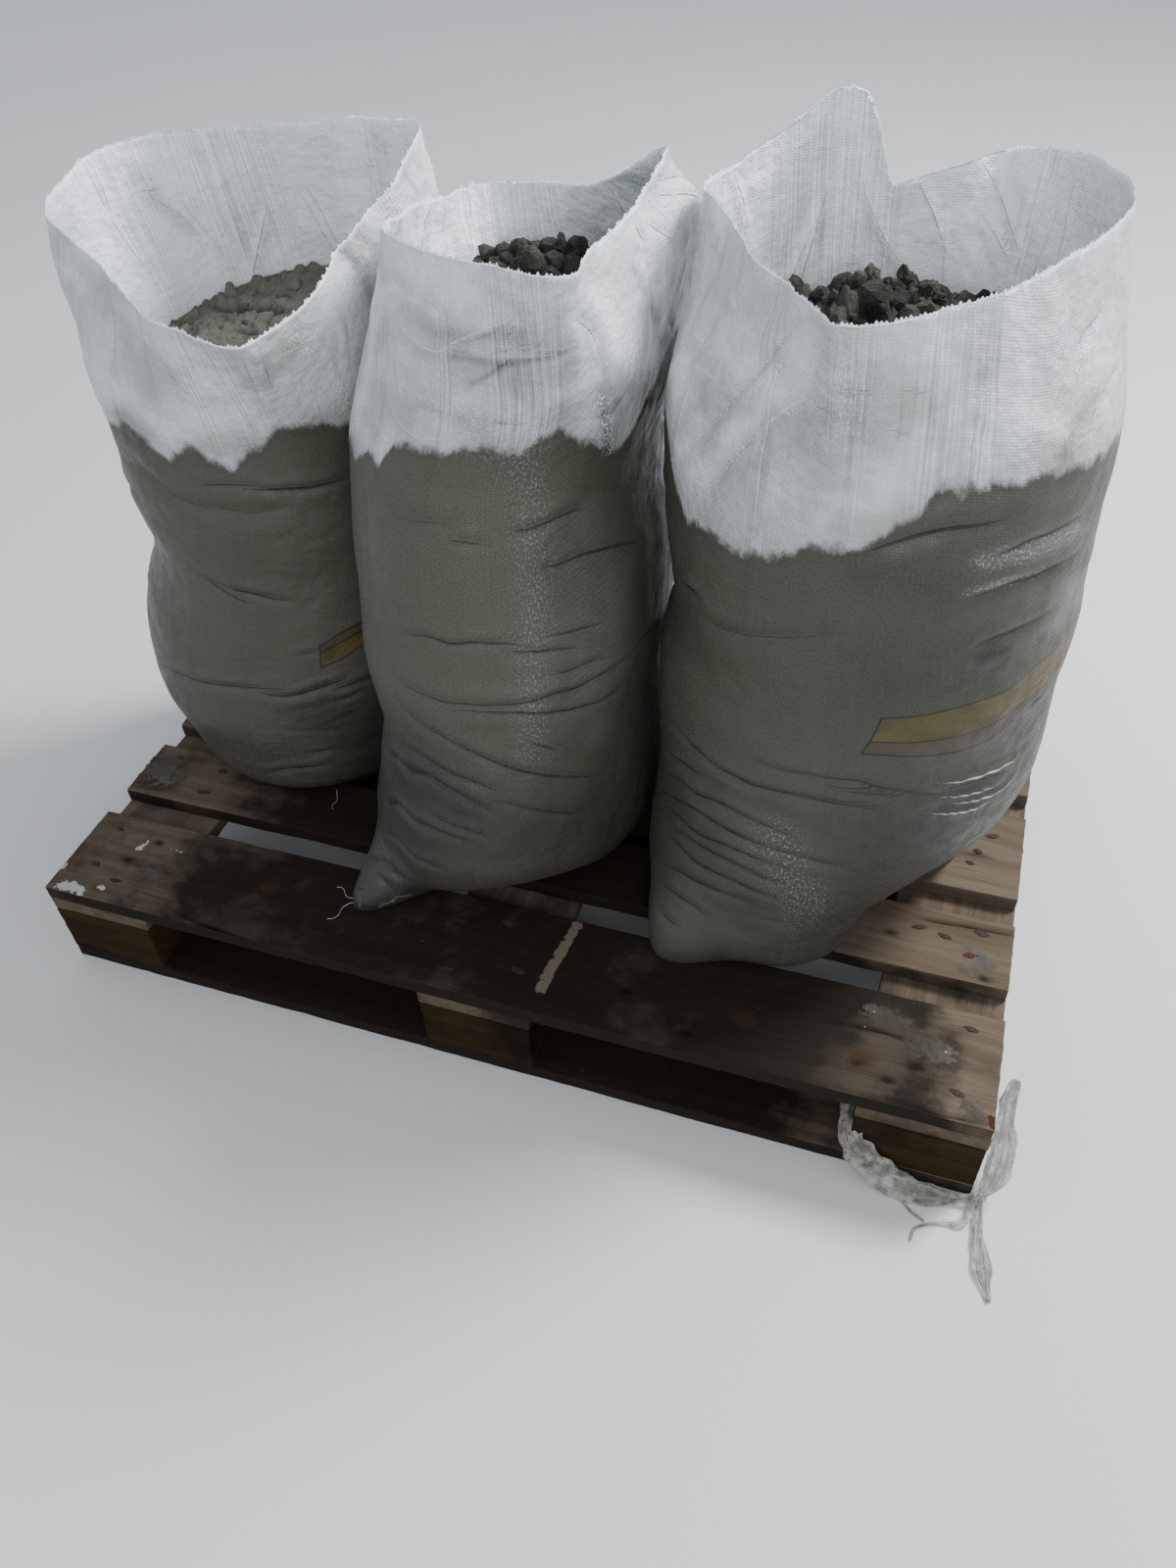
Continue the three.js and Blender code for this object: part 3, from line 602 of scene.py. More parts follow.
def side_folds(sack):
    """Creases of the same kind on the sides that the camera doesn't see: depth, width and a line on the cloth."""
    rng = np.random.default_rng(40 + sack.seed)
    low, high = {"left": (25, 212), "middle": (25, 200), "right": (8, 188)}[sack.name]
    filled = sack.up[sack.body_rows].mean()
    made = []
    waists = [filled * share for share in rng.permutation([0.12, 0.2, 0.3, 0.42, 0.55, 0.66, 0.8])]
    for index in range(64):
        middle = math.radians(rng.uniform(low, high)) * WRAP_RADIUS * 1000
        height = waists[index % len(waists)] + rng.normal(0, 16)
        length = rng.uniform(60, 230)
        tilt = rng.normal(0, 0.12)
        sag = rng.normal(0.02, 0.05)
        t = np.linspace(-0.5, 0.5, 7)
        line = np.stack([middle + t * length, height + t * length * tilt + (t * t * 4 - 1) * length * sag], axis=-1)
        made.append((rng.uniform(1.8, 5.2), rng.uniform(8, 13), line))
    for _ in range(14):
        middle = math.radians(rng.uniform(low, high)) * WRAP_RADIUS * 1000
        height = filled + rng.uniform(20, 90)
        lean = rng.normal(0, 22)
        t = np.linspace(-1, 1, 5)
        line = np.stack([middle + lean * t, height + 55 * t], axis=-1)
        made.append((rng.uniform(1.5, 3.5), rng.uniform(9, 15), line))
    return made


def wrinkle_field(sack):
    """Small wrinkles and soft dents all over, in millimetres along the outward direction."""
    angle = np.radians(sack.bearing)[None, :]
    ring_x = np.cos(angle) * WRAP_RADIUS * 1000 + 0 * sack.up
    ring_y = np.sin(angle) * WRAP_RADIUS * 1000 + 0 * sack.up
    up = sack.up
    filled = sack.up[sack.body_rows][None, :]

    def noise(across_size, up_size, seed):
        points = np.stack([ring_x / across_size, ring_y / across_size, up / up_size], axis=-1)
        return lattice_noise(points, seed + 17 * sack.seed)

    drift = noise(70, 60, 5)
    bent = np.stack([ring_x / 62, ring_y / 62, (up + 16 * drift) / 13], axis=-1)
    fine = np.stack([ring_x / 30, ring_y / 30, (up + 9 * drift) / 7], axis=-1)
    pleats = 1 - np.abs(lattice_noise(bent, 31 + sack.seed)) * 2.4
    small = 1 - np.abs(lattice_noise(fine, 47 + sack.seed)) * 2.4
    gather = smoothstep(-0.1, 0.5, noise(120, 70, 9))
    body = 1 - smoothstep(-25, 30, up - filled)
    low = smoothstep(0, 30, up)
    out = 2.2 * noise(110, 90, 3) + 1.0 * noise(45, 38, 4)
    out += body * low * gather * (-1.1 * np.clip(pleats, 0, 1) ** 3 - 0.5 * np.clip(small, 0, 1) ** 3)
    out += body * low * 0.25 * noise(22, 9, 6)
    crinkle = np.abs(noise(34, 40, 12)) + 0.5 * np.abs(noise(17, 20, 13))
    streak = noise(11, 260, 14)
    out += (1 - body) * (2.6 * crinkle - 1.0 + 0.35 * streak)
    return out * low


# Meshes


def link_object(name, data):
    made = bpy.data.objects.new(name, data)
    bpy.context.scene.collection.objects.link(made)
    return made


def make_object(name, points, faces=(), material=None, edges=(), smooth=True):
    """A piece, or the bare points or line that nodes grow one on, in metres in the shared frame."""
    mesh = bpy.data.meshes.new(name)
    mesh.from_pydata(np.asarray(points, float).tolist(), edges, faces)
    if material:
        mesh.materials.append(material)
        mesh.polygons.foreach_set("use_smooth", np.full(len(mesh.polygons), smooth))
    mesh.update()
    return link_object(name, mesh)


def capped_object(name, grid, ends, material):
    """A piece of rings of points in millimetres, closed below and above by a fan round an end point."""
    index = np.arange(grid.shape[0] * grid.shape[1]).reshape(grid.shape[:2])
    faces = strips(index).tolist()
    low, high = index.size, index.size + 1
    for here, there in zip(index.T.tolist(), np.roll(index, -1, axis=1).T.tolist()):
        faces += [[low, there[0], here[0]], [high, here[-1], there[-1]]]
    return make_object(name, np.concatenate([grid.reshape(-1, 3), ends]) / 1000, faces, material)


def set_points(made, **fields):
    """One number or one vector on each point for each field, for the material to read."""
    for name, values in fields.items():
        values = np.asarray(values, np.float32)
        kind, key = ("FLOAT", "value") if values.ndim == 1 else ("FLOAT_VECTOR", "vector")
        made.data.attributes.new(name, kind, "POINT").data.foreach_set(key, values.ravel())


def read_ints(items, key):
    found = np.empty(len(items), np.int32)
    items.foreach_get(key, found)
    return found


def set_cloth_map(made, flat):
    """Where each corner of a face lies on the flat cloth, in metres."""
    made.data.uv_layers.new(name="tapes").data.foreach_set("uv", flat.ravel().astype(np.float32))


def bake_nodes(source, tree, name, values):
    """Runs a Geometry Nodes group on an object, with inputs set by their identifiers, and keeps its plain mesh."""
    modifier = source.modifiers.new(tree.name, "NODES")
    modifier.node_group = tree
    for item in tree.interface.items_tree:
        if item.item_type == "SOCKET" and item.in_out == "INPUT" and item.name in values:
            modifier[item.identifier] = values[item.name]
    depsgraph = bpy.context.evaluated_depsgraph_get()
    mesh = bpy.data.meshes.new_from_object(source.evaluated_get(depsgraph), depsgraph=depsgraph)
    source.modifiers.remove(modifier)
    mesh.name = name
    mesh.materials.clear()
    mesh.materials.append(values["Material"])
    return link_object(name, mesh)


def discard(made):
    mesh = made.data
    bpy.data.objects.remove(made)
    bpy.data.meshes.remove(mesh)


# The sacks

# The fabric's grid, and its thickness in millimetres as shown
COLUMNS, BODY_ROWS, FREE_ROWS = 288, 152, 42
WALL = 1.0
UNDER_SAND_ROWS = 22
FOLD_LAYERS = 3
MADE = {}


def fabric_grid(name):
    """The dressed grid of one sack, with what its material and its sand read."""
    if name in MADE:
        return MADE[name]
    sack = Sack(name, COLUMNS, BODY_ROWS, FREE_ROWS)
    tree = surface_tree(sack.grid)
    out = wrinkle_field(sack)
    folds = (np.full((*out.shape, FOLD_LAYERS), 50.0), np.zeros((*out.shape, FOLD_LAYERS)))
    traced = [(depth, width, sack.trace(tree, line)) for depth, width, line in marks_of(FOLDS[name])]
    for number, (depth, width, line) in enumerate(traced + side_folds(sack)):
        if len(line) > 1:
            lay_fold(sack, out, folds, number % FOLD_LAYERS, line, depth, width)
    out[0] = np.minimum(out[0], 0)
    normal = normals_of(sack.grid)
    placed = sack.grid + normal * out[..., None]
    placed[0, :, 2] = DECK_Z
    placed[..., 2] = np.maximum(placed[..., 2], DECK_Z + 0.2 * (np.arange(len(placed)) > 0)[:, None])

    damp_line = sack.trace(tree, rows_of(DAMP_LINE[name]))
    edge = np.interp(
        sack.across,
        *np.array(sorted((a % sack.round, u) for a, u in damp_line)).T,
        period=sack.round,
    )
    rest = np.array([np.interp(DAMP_HEIGHT[name], sack.grid[:, c, 2], sack.up[:, c]) for c in range(sack.columns)])
    start, end = damp_line[0][0], damp_line[-1][0]
    past = np.minimum((sack.across - end) % sack.round, (start - sack.across) % sack.round)
    outside = (sack.across - start) % sack.round > (end - start) % sack.round
    edge = np.where(outside, edge + (rest - edge) * smoothstep(0, 90, past), edge)
    damp = (sack.up - edge[None, :]) / 1000

    band = np.full(placed.shape, 9.0)
    if name in BAND:
        wide, narrow = (sack.trace(tree, rows_of(edge)) for edge in BAND[name])
        turns = np.round((wide[:, 0].mean() - sack.across) / sack.round) * sack.round
        tops, lows = (np.interp(sack.across + turns, *edge.T)[None, :] for edge in (wide, narrow))
        down = (tops - sack.up) / (tops - lows)
        start = wide[0, 0] + (narrow[0, 0] - wide[0, 0]) * np.clip(down, 0, 1)
        band[..., 0] = ((sack.across + turns)[None, :] - start) / 1000
        band[..., 1] = down
        band[..., 2] = np.abs(tops - lows) / 1000
    facing = normals_of(placed)
    marks = [
        np.stack([mark_field(sack, placed, facing, table, inside) for table in (PAINTED_LIGHT_AND_SHADE, PAINTED_GLINTS, SPATTERS)], axis=-1)
        for inside in (False, True)
    ]
    MADE[name] = (sack, placed, damp, folds, band, marks)
    return MADE[name]


def build_fabric(name, material):
    """One sack: the outer face, the rolled-over cut edge, the inner face and a plain hidden floor."""
    sack, outer, damp, folds, band, marks = fabric_grid(name)
    columns = sack.columns
    first_inside = sack.body_rows - UNDER_SAND_ROWS
    inner = (outer - normals_of(outer) * WALL)[first_inside:][::-1]
    middle, cap_middle = outer[0].mean(axis=0), inner[-1].mean(axis=0)
    bottom = [middle + (outer[0] - middle) * share for share in (0.1, 0.4, 0.75)]
    cap = [cap_middle + (inner[-1] - cap_middle) * share for share in (0.75, 0.4, 0.1)]
    grid = np.concatenate([bottom, outer, inner, cap])
    made = capped_object(f"sack_{name}_fabric", grid, (middle, cap_middle), material)

    def spread(values, ends, within=None):
        """Values on the outer face, and on the inner face if they differ there, carried on over the caps."""
        inside = (values if within is None else within)[first_inside:][::-1]
        rings = [np.repeat(values[:1], 3, axis=0), values, inside, np.repeat(inside[-1:], 3, axis=0)]
        tail = np.broadcast_to(np.asarray(ends, float), (2, *values.shape[2:]))
        return np.concatenate([np.concatenate(rings).reshape(-1, *values.shape[2:]), tail])

    set_points(
        made,
        damp=spread(damp, -0.3),
        fold_gap=spread(folds[0] / 1000, 0.05),
        fold_force=spread(folds[1], 0),
        band=spread(band, 9),
        marks=spread(marks[0], 0, marks[1]),
        inside=spread(np.zeros_like(damp), (0, 1), np.ones_like(damp)),
    )
    up = spread(sack.up / 1000, (0, sack.up[first_inside, -1] / 1000))
    loops = read_ints(made.data.loops, "vertex_index")
    starts, sizes = (read_ints(made.data.polygons, key) for key in ("loop_start", "loop_total"))
    column = loops % columns
    wrapped = (column == 0) & (np.repeat(np.maximum.reduceat(column, starts), sizes) == columns - 1)
    turn = np.where(wrapped, columns, column)
    turn = np.where(loops >= len(up) - 2, np.repeat(column[starts + 1], sizes), turn)
    set_cloth_map(made, np.stack([turn * sack.round / columns / 1000, up[loops]], axis=-1))
    return made


# The sewn corner of the middle sack, in pixels: up its free edge, up the line where it meets the sack, and creases
EAR_EDGE = """
    359,925 357,918 353,913 351,909 358,907 364,906 369,902 373,895 376,887 375,881 379,874 377,862 380,855 383,842"""
EAR_ROOT = """
    434,928 430,919 425,912 420,906 415,899 410,892 405,885 401,878 398,872 395,866 392,860 389,854 387,848 385,842"""
EAR_CREASES = ("392,880 406,889 419,899", "381,889 394,899 405,911", "377,872 384,880 392,886")
EAR_ROWS, EAR_COLUMNS = 40, 22


def build_ear(material):
    """The flat pointed flap where the bottom seam of the middle sack ends."""
    tree = surface_tree(fabric_grid("middle")[1])
    edge, root = (smooth_line(rows_of(text), 2.2) for text in (EAR_EDGE, EAR_ROOT))
    edge, root = (line[np.round(np.linspace(0, len(line) - 1, EAR_ROWS)).astype(int)] for line in (edge, root))
    share = np.linspace(0, 1, EAR_COLUMNS)[None, :, None]
    pixels = edge[:, None] + (root - edge)[:, None] * share
    spots = pixels.reshape(-1, 2)
    ways = trace_rays(pixels)
    hits = np.array([[tree.ray_cast(Vector(EYE), Vector(way))[3] or np.nan for way in row] for row in ways])
    to_deck = (DECK_Z / 1000 + 0.0012 - EYE[2]) / ways[..., 2]
    climb = np.linspace(0, 1, EAR_ROWS)[:, None]
    top = np.nanmax(hits[-1])
    reach = np.minimum(to_deck[:1, :1] + (top - to_deck[0, 0]) * climb + 0 * hits, to_deck - 0.0004)
    reach = np.fmin(reach, hits - 0.0022)
    root_share = smoothstep(0.75, 1.0, share[..., 0])
    reach = np.where(np.isnan(hits), reach, reach + (hits + 0.0012 - reach) * root_share)
    for text in EAR_CREASES:
        gap, along = along_line(np.array(rows_of(text)), spots)
        reach += 0.0016 * (bell(gap / 1.8) * tapered(along, 0.05)).reshape(reach.shape)
    points, faces = thicken((EYE + ways * reach[..., None]) * 1000, 0.5)
    points[:, 2] = np.maximum(points[:, 2], DECK_Z + 0.2)
    made = make_object("sack_middle_ear", points / 1000, faces, material)
    triple = (len(points), 3)
    set_points(made, damp=np.full(len(points), -0.6), fold_gap=np.full(triple, 0.05), band=np.full(triple, 9.0))
    flat = np.concatenate([spots] * 2) * (0.00095, -0.0012)
    set_cloth_map(made, flat[read_ints(made.data.loops, "vertex_index")])
    return made


# Sand in the sacks

# Heaps, clods and hollows: place, height and reach in millimetres
SAND_HEAPS = {"left": "-330,90,26,110", "middle": "-15,35,39,105", "right": "330,25,36,125"}
SAND_CLODS = {
    "middle": """
        -84,86,16,17 -41,78,14,20 2,92,18,25 -31,33,15,18 -4,28,11,16 -70,10,10,20 30,-25,12,22 -50,-60,10,22
        15,-95,10,20""",
    "right": """
        306,52,28,29 232,112,20,18 266,95,10,15 342,126,15,15 364,84,18,22 284,18,13,20 388,128,9,16 420,150,8,14
        330,-45,12,24 405,0,11,22 250,-60,10,22 345,-125,10,24 430,-85,9,20""",
}
SAND_HOLLOWS = {
    "middle": "-16,60,12,11 -62,52,8,11 32,62,8,10 -8,0,9,14",
    "right": "322,27,18,15 345,62,9,12 270,62,9,12 300,110,9,13 390,90,7,13 300,-20,8,14",
}
# What shows of the left sack's sand, in pixels: its crack, then the height, reach and place of each lump
SAND_CRACK = "212,312 222,314 232,317 246,315 262,316 278,317 300,315"
SAND_LUMPS = """
    13 5.5 236,300; 11 8 264,289; 8 6 319,272; 7 5 306,275; 6 5 291,280; 5 4 277,286; 6 6 223,306; 5 5 210,310; 6 5
    197,315; 6 6 184,320; 6 6 171,327; 6 5 178,332; 5 5 192,333; 7 4 236,324; 5 3 244,312; 6 5 203,338; -6 3
    224,333; -5 3 249,329; -8 5 257,340; -5 4 292,301; -7 3 230,323; -4 3 212,334; 4 4 333,269; 5 5 189,342"""
# How far the left sand's edge stands off level: bearing, rise and spread
SAND_SLOPE = ((195, -50, 60), (75, 16, 45))
# The surface: depth of its hidden base and sizes of its broken lumps in millimetres, rings, loose clods
SAND_DEPTH = 24.0
CLOD_SIZES = (26, 12, 6)
SAND_RINGS = 58
CLODS_PER_M2 = {"left": 900.0, "middle": 3900.0, "right": 3600.0}


def traced_relief(pixels):
    """The split, the ledge behind it, the lumps and the holes of the left sack's sand, and how deeply it is split,
    which is also drawn dark as painted shade.
    """
    spots = pixels.reshape(-1, 2)
    gap, share = along_line(smooth_line(rows_of(SAND_CRACK), 3.0), spots)
    wander = lattice_noise(np.concatenate([spots / 5, spots[:, :1] * 0], axis=1), 77)
    wander = wander + 0.6 * lattice_noise(np.concatenate([spots / 1.9, spots[:, :1] * 0], axis=1), 78)
    gap, ends = gap + 2.2 * wander, tapered(share, 0.03, 0.5)
    crack = ends * bell(gap / 2.2)
    rise = 4 * ends * smoothstep(1, -4, gap) * smoothstep(-17, -8, gap) - 8 * crack + 1.5 * wander
    for height, reach, (place,) in marks_of(SAND_LUMPS):
        off = np.hypot(*((spots - place) * (1, 2.3)).T) / reach + 0.35 * wander
        lump = np.exp(-(off**4))
        rise += height * lump
        crack = np.maximum(crack, lump * (height < 0))
    return rise.reshape(pixels.shape[:-1]), crack.reshape(pixels.shape[:-1])


def sand_form(name, x, y, level):
    """Height in millimetres over the slope of the sand's edge, how cloddy it is, and how deeply it is split, which is
    drawn dark as painted shade.
    """

    def mound(table, steepness, x, y):
        lumps = (
            high * np.exp(-((np.hypot(x - at_x, y - at_y) / reach) ** steepness))
            for at_x, at_y, high, reach in rows_of(table.get(name, ""))
        )
        return sum(lumps, 0 * x)

    points = np.stack([x, y, 0 * x], axis=-1)
    bent = [c + 4 * lattice_noise(points / 14, 90 + k) for k, c in enumerate((x, y))]
    hollows = mound(SAND_HOLLOWS, 4, *bent)
    rise = mound(SAND_HEAPS, 2, x, y) + mound(SAND_CLODS, 5, *bent) - hollows
    # Painted shade: the hollows are drawn darker.
    hollow_shade = np.clip(hollows / 12, 0, 1)
    if name != "left":
        return rise, np.ones_like(x), hollow_shade
    pixels, _ = pixels_at(np.stack([x, y, level + rise], axis=-1))
    relief, crack = traced_relief(pixels)
    near_corner = np.exp(-(((pixels - (180, 331)) / (26, 12)) ** 2).sum(axis=-1))
    return rise + relief, 0.3 + 0.7 * near_corner, crack


def broken_ground(x, y, size, seed):
    """Broken lumps: a tilted plateau in each cell of an uneven grid, and the cracks between the cells."""
    place = np.stack([x, y], axis=-1) / size
    nearest, second, level = np.full(x.shape, 9.0), np.full(x.shape, 9.0), np.zeros(x.shape)
    for step in np.ndindex(3, 3):
        corner = np.floor(place) + step - (1, 1)
        spin = corner @ (127.1, 311.7)
        chance = [np.abs(np.sin(spin + 74.7 * (seed + k)) * 43758.5453) % 1 - 0.5 for k in range(5)]
        off = place - corner - 0.5 - 0.8 * np.stack(chance[:2], axis=-1)
        gap = np.linalg.norm(off, axis=-1)
        here = chance[2] + 1.6 * (off[..., 0] * chance[3] + off[..., 1] * chance[4])
        nearer = gap < nearest
        second = np.where(nearer, nearest, np.minimum(second, gap))
        level = np.where(nearer, here, level)
        nearest = np.where(nearer, gap, nearest)
    return size * level, smoothstep(0.25, 0, second - nearest)


def sand_edge(name, sack, wall):
    """Where the sand meets the fabric, found on each column of the inner face."""
    height = np.full(sack.columns, sack.top - 3)
    if name == "left":
        for bearing, rise, spread in SAND_SLOPE:
            height += rise * bell(turn_from(bearing, sack.bearing) / spread)
    low = sack.body_rows - UNDER_SAND_ROWS + 2
    column = [wall[low : sack.body_rows + 14, c] for c in range(sack.columns)]
    return np.array([[np.interp(h, c[:, 2], c[:, k]) for k in range(3)] for h, c in zip(height, column)])


def build_sand(name, material):
    """The sand that shows in a sack's mouth: a clodded surface out to the fabric, on a plain hidden base."""
    sack, outer, *_ = fabric_grid(name)
    wall = sand_edge(name, sack, outer - normals_of(outer) * (WALL + 0.2))
    centre = wall.mean(axis=0)
    share = np.linspace(1, 0, SAND_RINGS + 1)[:-1]
    flat = centre + (wall - centre)[None] * share[:, None, None]
    x, y = flat[..., 0], flat[..., 1]
    rise, clods, hollow_shade = sand_form(name, x, y, flat[..., 2])
    mound = smoothstep(0, 0.03 if name == "left" else 0.12, 1 - share)[:, None]
    points = np.stack([x, y, 0 * x], axis=-1)
    coarse = lattice_noise(points / 40, 3 + sack.seed)
    bent = [c + 2.5 * lattice_noise(points / 9, k + sack.seed) for k, c in enumerate((x, y), 31)]
    broken = [broken_ground(*bent, size, sack.seed + size) for size in CLOD_SIZES]
    rough = clods * sum(0.5 * level - 0.2 * size * split for size, (level, split) in zip(CLOD_SIZES, broken))
    rough += clods * 4 * coarse + 0.6 * lattice_noise(points / 3.6, 9 + sack.seed) + (1 - clods) * 1.6 * coarse
    rough -= rough.mean()
    edge = smoothstep(0, 0.07, 1 - share)[:, None]
    z = flat[..., 2] + rise * mound + rough * edge
    # Painted shade: the hollows and the cracks between the clods are drawn darker.
    crack = np.maximum(hollow_shade, 0.8 * clods * np.maximum(0.8 * broken[0][1], 0.5 * broken[1][1]))
    base = wall - np.array([0, 0, SAND_DEPTH]) + (centre - wall) * 0.03
    base_middle = base.mean(axis=0)
    grid = np.stack([x, y, z], axis=-1)
    grid = np.concatenate([[base_middle + (base - base_middle) * 0.5], [base], grid])
    made = capped_object(f"sand_{name}_heap", grid, (base_middle, grid[-1].mean(axis=0)), material)

    def spread(values):
        """Values of the surface, with none on the two rings of the base and the two end points."""
        return np.concatenate([np.zeros(2 * sack.columns), values.ravel(), np.zeros(2)])

    strewn = (share < 0.86)[:, None] * clods * (share > 0.04)[:, None]
    smooth = 1 - clods * (0.25 if name == "left" else 1)
    set_points(made, clods=spread(strewn), smooth=spread(smooth), crack=spread(crack))
    return made


# Nodes


def maths(operation, swapped=False):
    """An operator or method of wires that adds one Math node."""

    def step(self, *others):
        values = (self, *others)[:: -1 if swapped else 1]
        return self.nodes.add("ShaderNodeMath", dict(enumerate(values)), operation=operation)

    return step


class Wire:
    """A node socket that sums, products and comparisons can be written with: each step becomes a node."""

    def __init__(self, nodes, socket):
        self.nodes, self.socket = nodes, socket

    __add__ = __radd__ = maths("ADD")
    __mul__ = __rmul__ = maths("MULTIPLY")
    __sub__, __rsub__ = maths("SUBTRACT"), maths("SUBTRACT", swapped=True)
    __truediv__, __pow__ = maths("DIVIDE"), maths("POWER")
    __lt__, __gt__ = maths("LESS_THAN"), maths("GREATER_THAN")
    __abs__, floor, fract = maths("ABSOLUTE"), maths("FLOOR"), maths("FRACT")
    at_most, at_least = maths("MINIMUM"), maths("MAXIMUM")

    def scaled(self, scale):
        return self.nodes.add("ShaderNodeVectorMath", {0: self, 1: scale}, operation="MULTIPLY")

    def split(self):
        return self.nodes.all_of("ShaderNodeSeparateXYZ", {0: self}).values()

    def ramp(self, low, high, bottom=0.0, top=1.0):
        """The value stretched smoothly between two ends."""
        ends = {"Value": self, "From Min": low, "From Max": high, "To Min": bottom, "To Max": top}
        return self.nodes.add("ShaderNodeMapRange", ends, interpolation_type="SMOOTHSTEP")


class Nodes:
    """Adds nodes to one tree. Inputs are given as values or as the wires that feed them."""

    def __init__(self, tree):
        self.tree = tree

    def place(self, kind, values=None, **settings):
        node = self.tree.nodes.new(kind)
        for key, value in settings.items():
            setattr(node, key, value)
        for key, value in (values or {}).items():
            self.feed(node.inputs[key], value)
        return node

    def feed(self, socket, value):
        if isinstance(value, Wire):
            self.tree.links.new(value.socket, socket)
        else:
            socket.default_value = value

    def add(self, kind, values=None, output=0, **settings):
        return Wire(self, self.place(kind, values, **settings).outputs[output])

    def all_of(self, kind, values=None, **settings):
        return {socket.name: Wire(self, socket) for socket in self.place(kind, values, **settings).outputs}

    def group(self, label, values):
        """The outputs of one of the shared groups."""
        return self.all_of("ShaderNodeGroup", values, node_tree=shared_groups()[label])

    def grime(self, place, patch_size, speck_size, specks=0.0):
        sizes = {"Patch size": patch_size, "Speck size": speck_size}
        return self.group("grime", {"Vector": place, **sizes, "Specks": specks})

    def finish(self, **outputs):
        self.place("NodeGroupOutput", outputs)
        return self.tree

    def finish_mesh(self, label, geometry, material):
        """Ends a Geometry Nodes group."""
        values = {"Geometry": geometry, "Material": material}
        return self.finish(**{label: self.add("GeometryNodeSetMaterial", values)})

    def noise(self, vector, scale, detail=2.0, rough=0.5):
        values = {"Vector": vector, "Scale": scale, "Detail": detail, "Roughness": rough}
        return self.add("ShaderNodeTexNoise", values, "Fac")

    def cells(self, vector, scale):
        return self.add("ShaderNodeTexVoronoi", {"Vector": vector, "Scale": scale}, "Distance")

    def mix(self, share, first, second, blend="MIX"):
        """A blend of two colours, each a wire or three numbers."""
        first, second = (c if isinstance(c, Wire) else (*c, 1) for c in (first, second))
        values = {0: share, 6: first, 7: second}
        return self.add("ShaderNodeMix", values, 2, data_type="RGBA", blend_type=blend)

    def blend(self, share, first, second):
        return self.add("ShaderNodeMix", {0: share, 2: first, 3: second}, data_type="FLOAT")

    def join(self, *parts):
        return self.add("ShaderNodeCombineXYZ", dict(enumerate(parts)))

    def attribute(self, name, output="Fac"):
        return self.add("ShaderNodeAttribute", output=output, attribute_name=name, attribute_type="GEOMETRY")

    def object_place(self):
        return self.add("ShaderNodeTexCoord", output="Object")

    def random(self, low, high, seed):
        """A random vector for each instance."""
        values = {"Min": low, "Max": high, "Seed": seed}
        return self.add("FunctionNodeRandomValue", values, data_type="FLOAT_VECTOR")


def node_group(name, ins, outs, kind="ShaderNodeTree"):
    """An empty group with named sockets, each with its kind and default. Gives its nodes and its inputs."""
    tree = bpy.data.node_groups.new(name, kind)
    for label, socket, value in ins:
        made = tree.interface.new_socket(label, in_out="INPUT", socket_type=f"NodeSocket{socket}")
        if value is not None:
            made.default_value = value
    for label, socket in outs:
        tree.interface.new_socket(label, in_out="OUTPUT", socket_type=f"NodeSocket{socket}")
    nodes = Nodes(tree)
    return nodes, nodes.all_of("NodeGroupInput")


def clod_nodes():
    """Lumps of damp sand strewn over a surface."""
    nodes, given = node_group(
        "Sand clods",
        (
            ("Surface", "Geometry", None), ("Density", "Float", 4000.0), ("Smallest", "Float", 0.003),
            ("Largest", "Float", 0.011), ("Lumpiness", "Float", 0.5), ("Seed", "Int", 3), ("Fineness", "Int", 2),
            ("Material", "Material", None),
        ),
        (("Clods", "Geometry"),),
        "GeometryNodeTree",
    )
    mask = nodes.add("GeometryNodeInputNamedAttribute", {"Name": "clods"}, data_type="FLOAT")
    spread = {"Mesh": given["Surface"], "Density": mask * mask * given["Density"], "Seed": given["Seed"]}
    spots = nodes.add("GeometryNodeDistributePointsOnFaces", spread)
    lump = nodes.add("GeometryNodeMeshIcoSphere", {"Radius": 1.0, "Subdivisions": given["Fineness"]})
    squeeze = nodes.random((0.65, 0.65, 0.5), (1.2, 1.2, 0.95), given["Seed"])
    pick = nodes.add("FunctionNodeRandomValue", {"Seed": 11}, 1, data_type="FLOAT")
    size = pick**2.6 * (given["Largest"] - given["Smallest"]) + given["Smallest"]
    scale = nodes.add("ShaderNodeVectorMath", {0: squeeze, "Scale": size}, operation="SCALE")
    turn = nodes.random((0.0, 0.0, 0.0), (6.28, 6.28, 6.28), 5)
    places = {"Points": spots, "Instance": lump, "Rotation": turn, "Scale": scale}
    real = nodes.add("GeometryNodeRealizeInstances", {0: nodes.add("GeometryNodeInstanceOnPoints", places)})
    where = {"Vector": nodes.add("GeometryNodeInputPosition"), "Scale": 150.0, "Detail": 4.0}
    centred = {0: nodes.add("ShaderNodeTexNoise", where, "Color"), 1: (0.5, 0.5, 0.5)}
    centred = nodes.add("ShaderNodeVectorMath", centred, operation="SUBTRACT")
    reach = {0: centred, "Scale": given["Lumpiness"] * 0.03}
    push = nodes.add("ShaderNodeVectorMath", reach, operation="SCALE")
    moved = nodes.add("GeometryNodeSetPosition", {"Geometry": real, "Offset": push})
    return nodes.finish_mesh("Clods", moved, given["Material"])


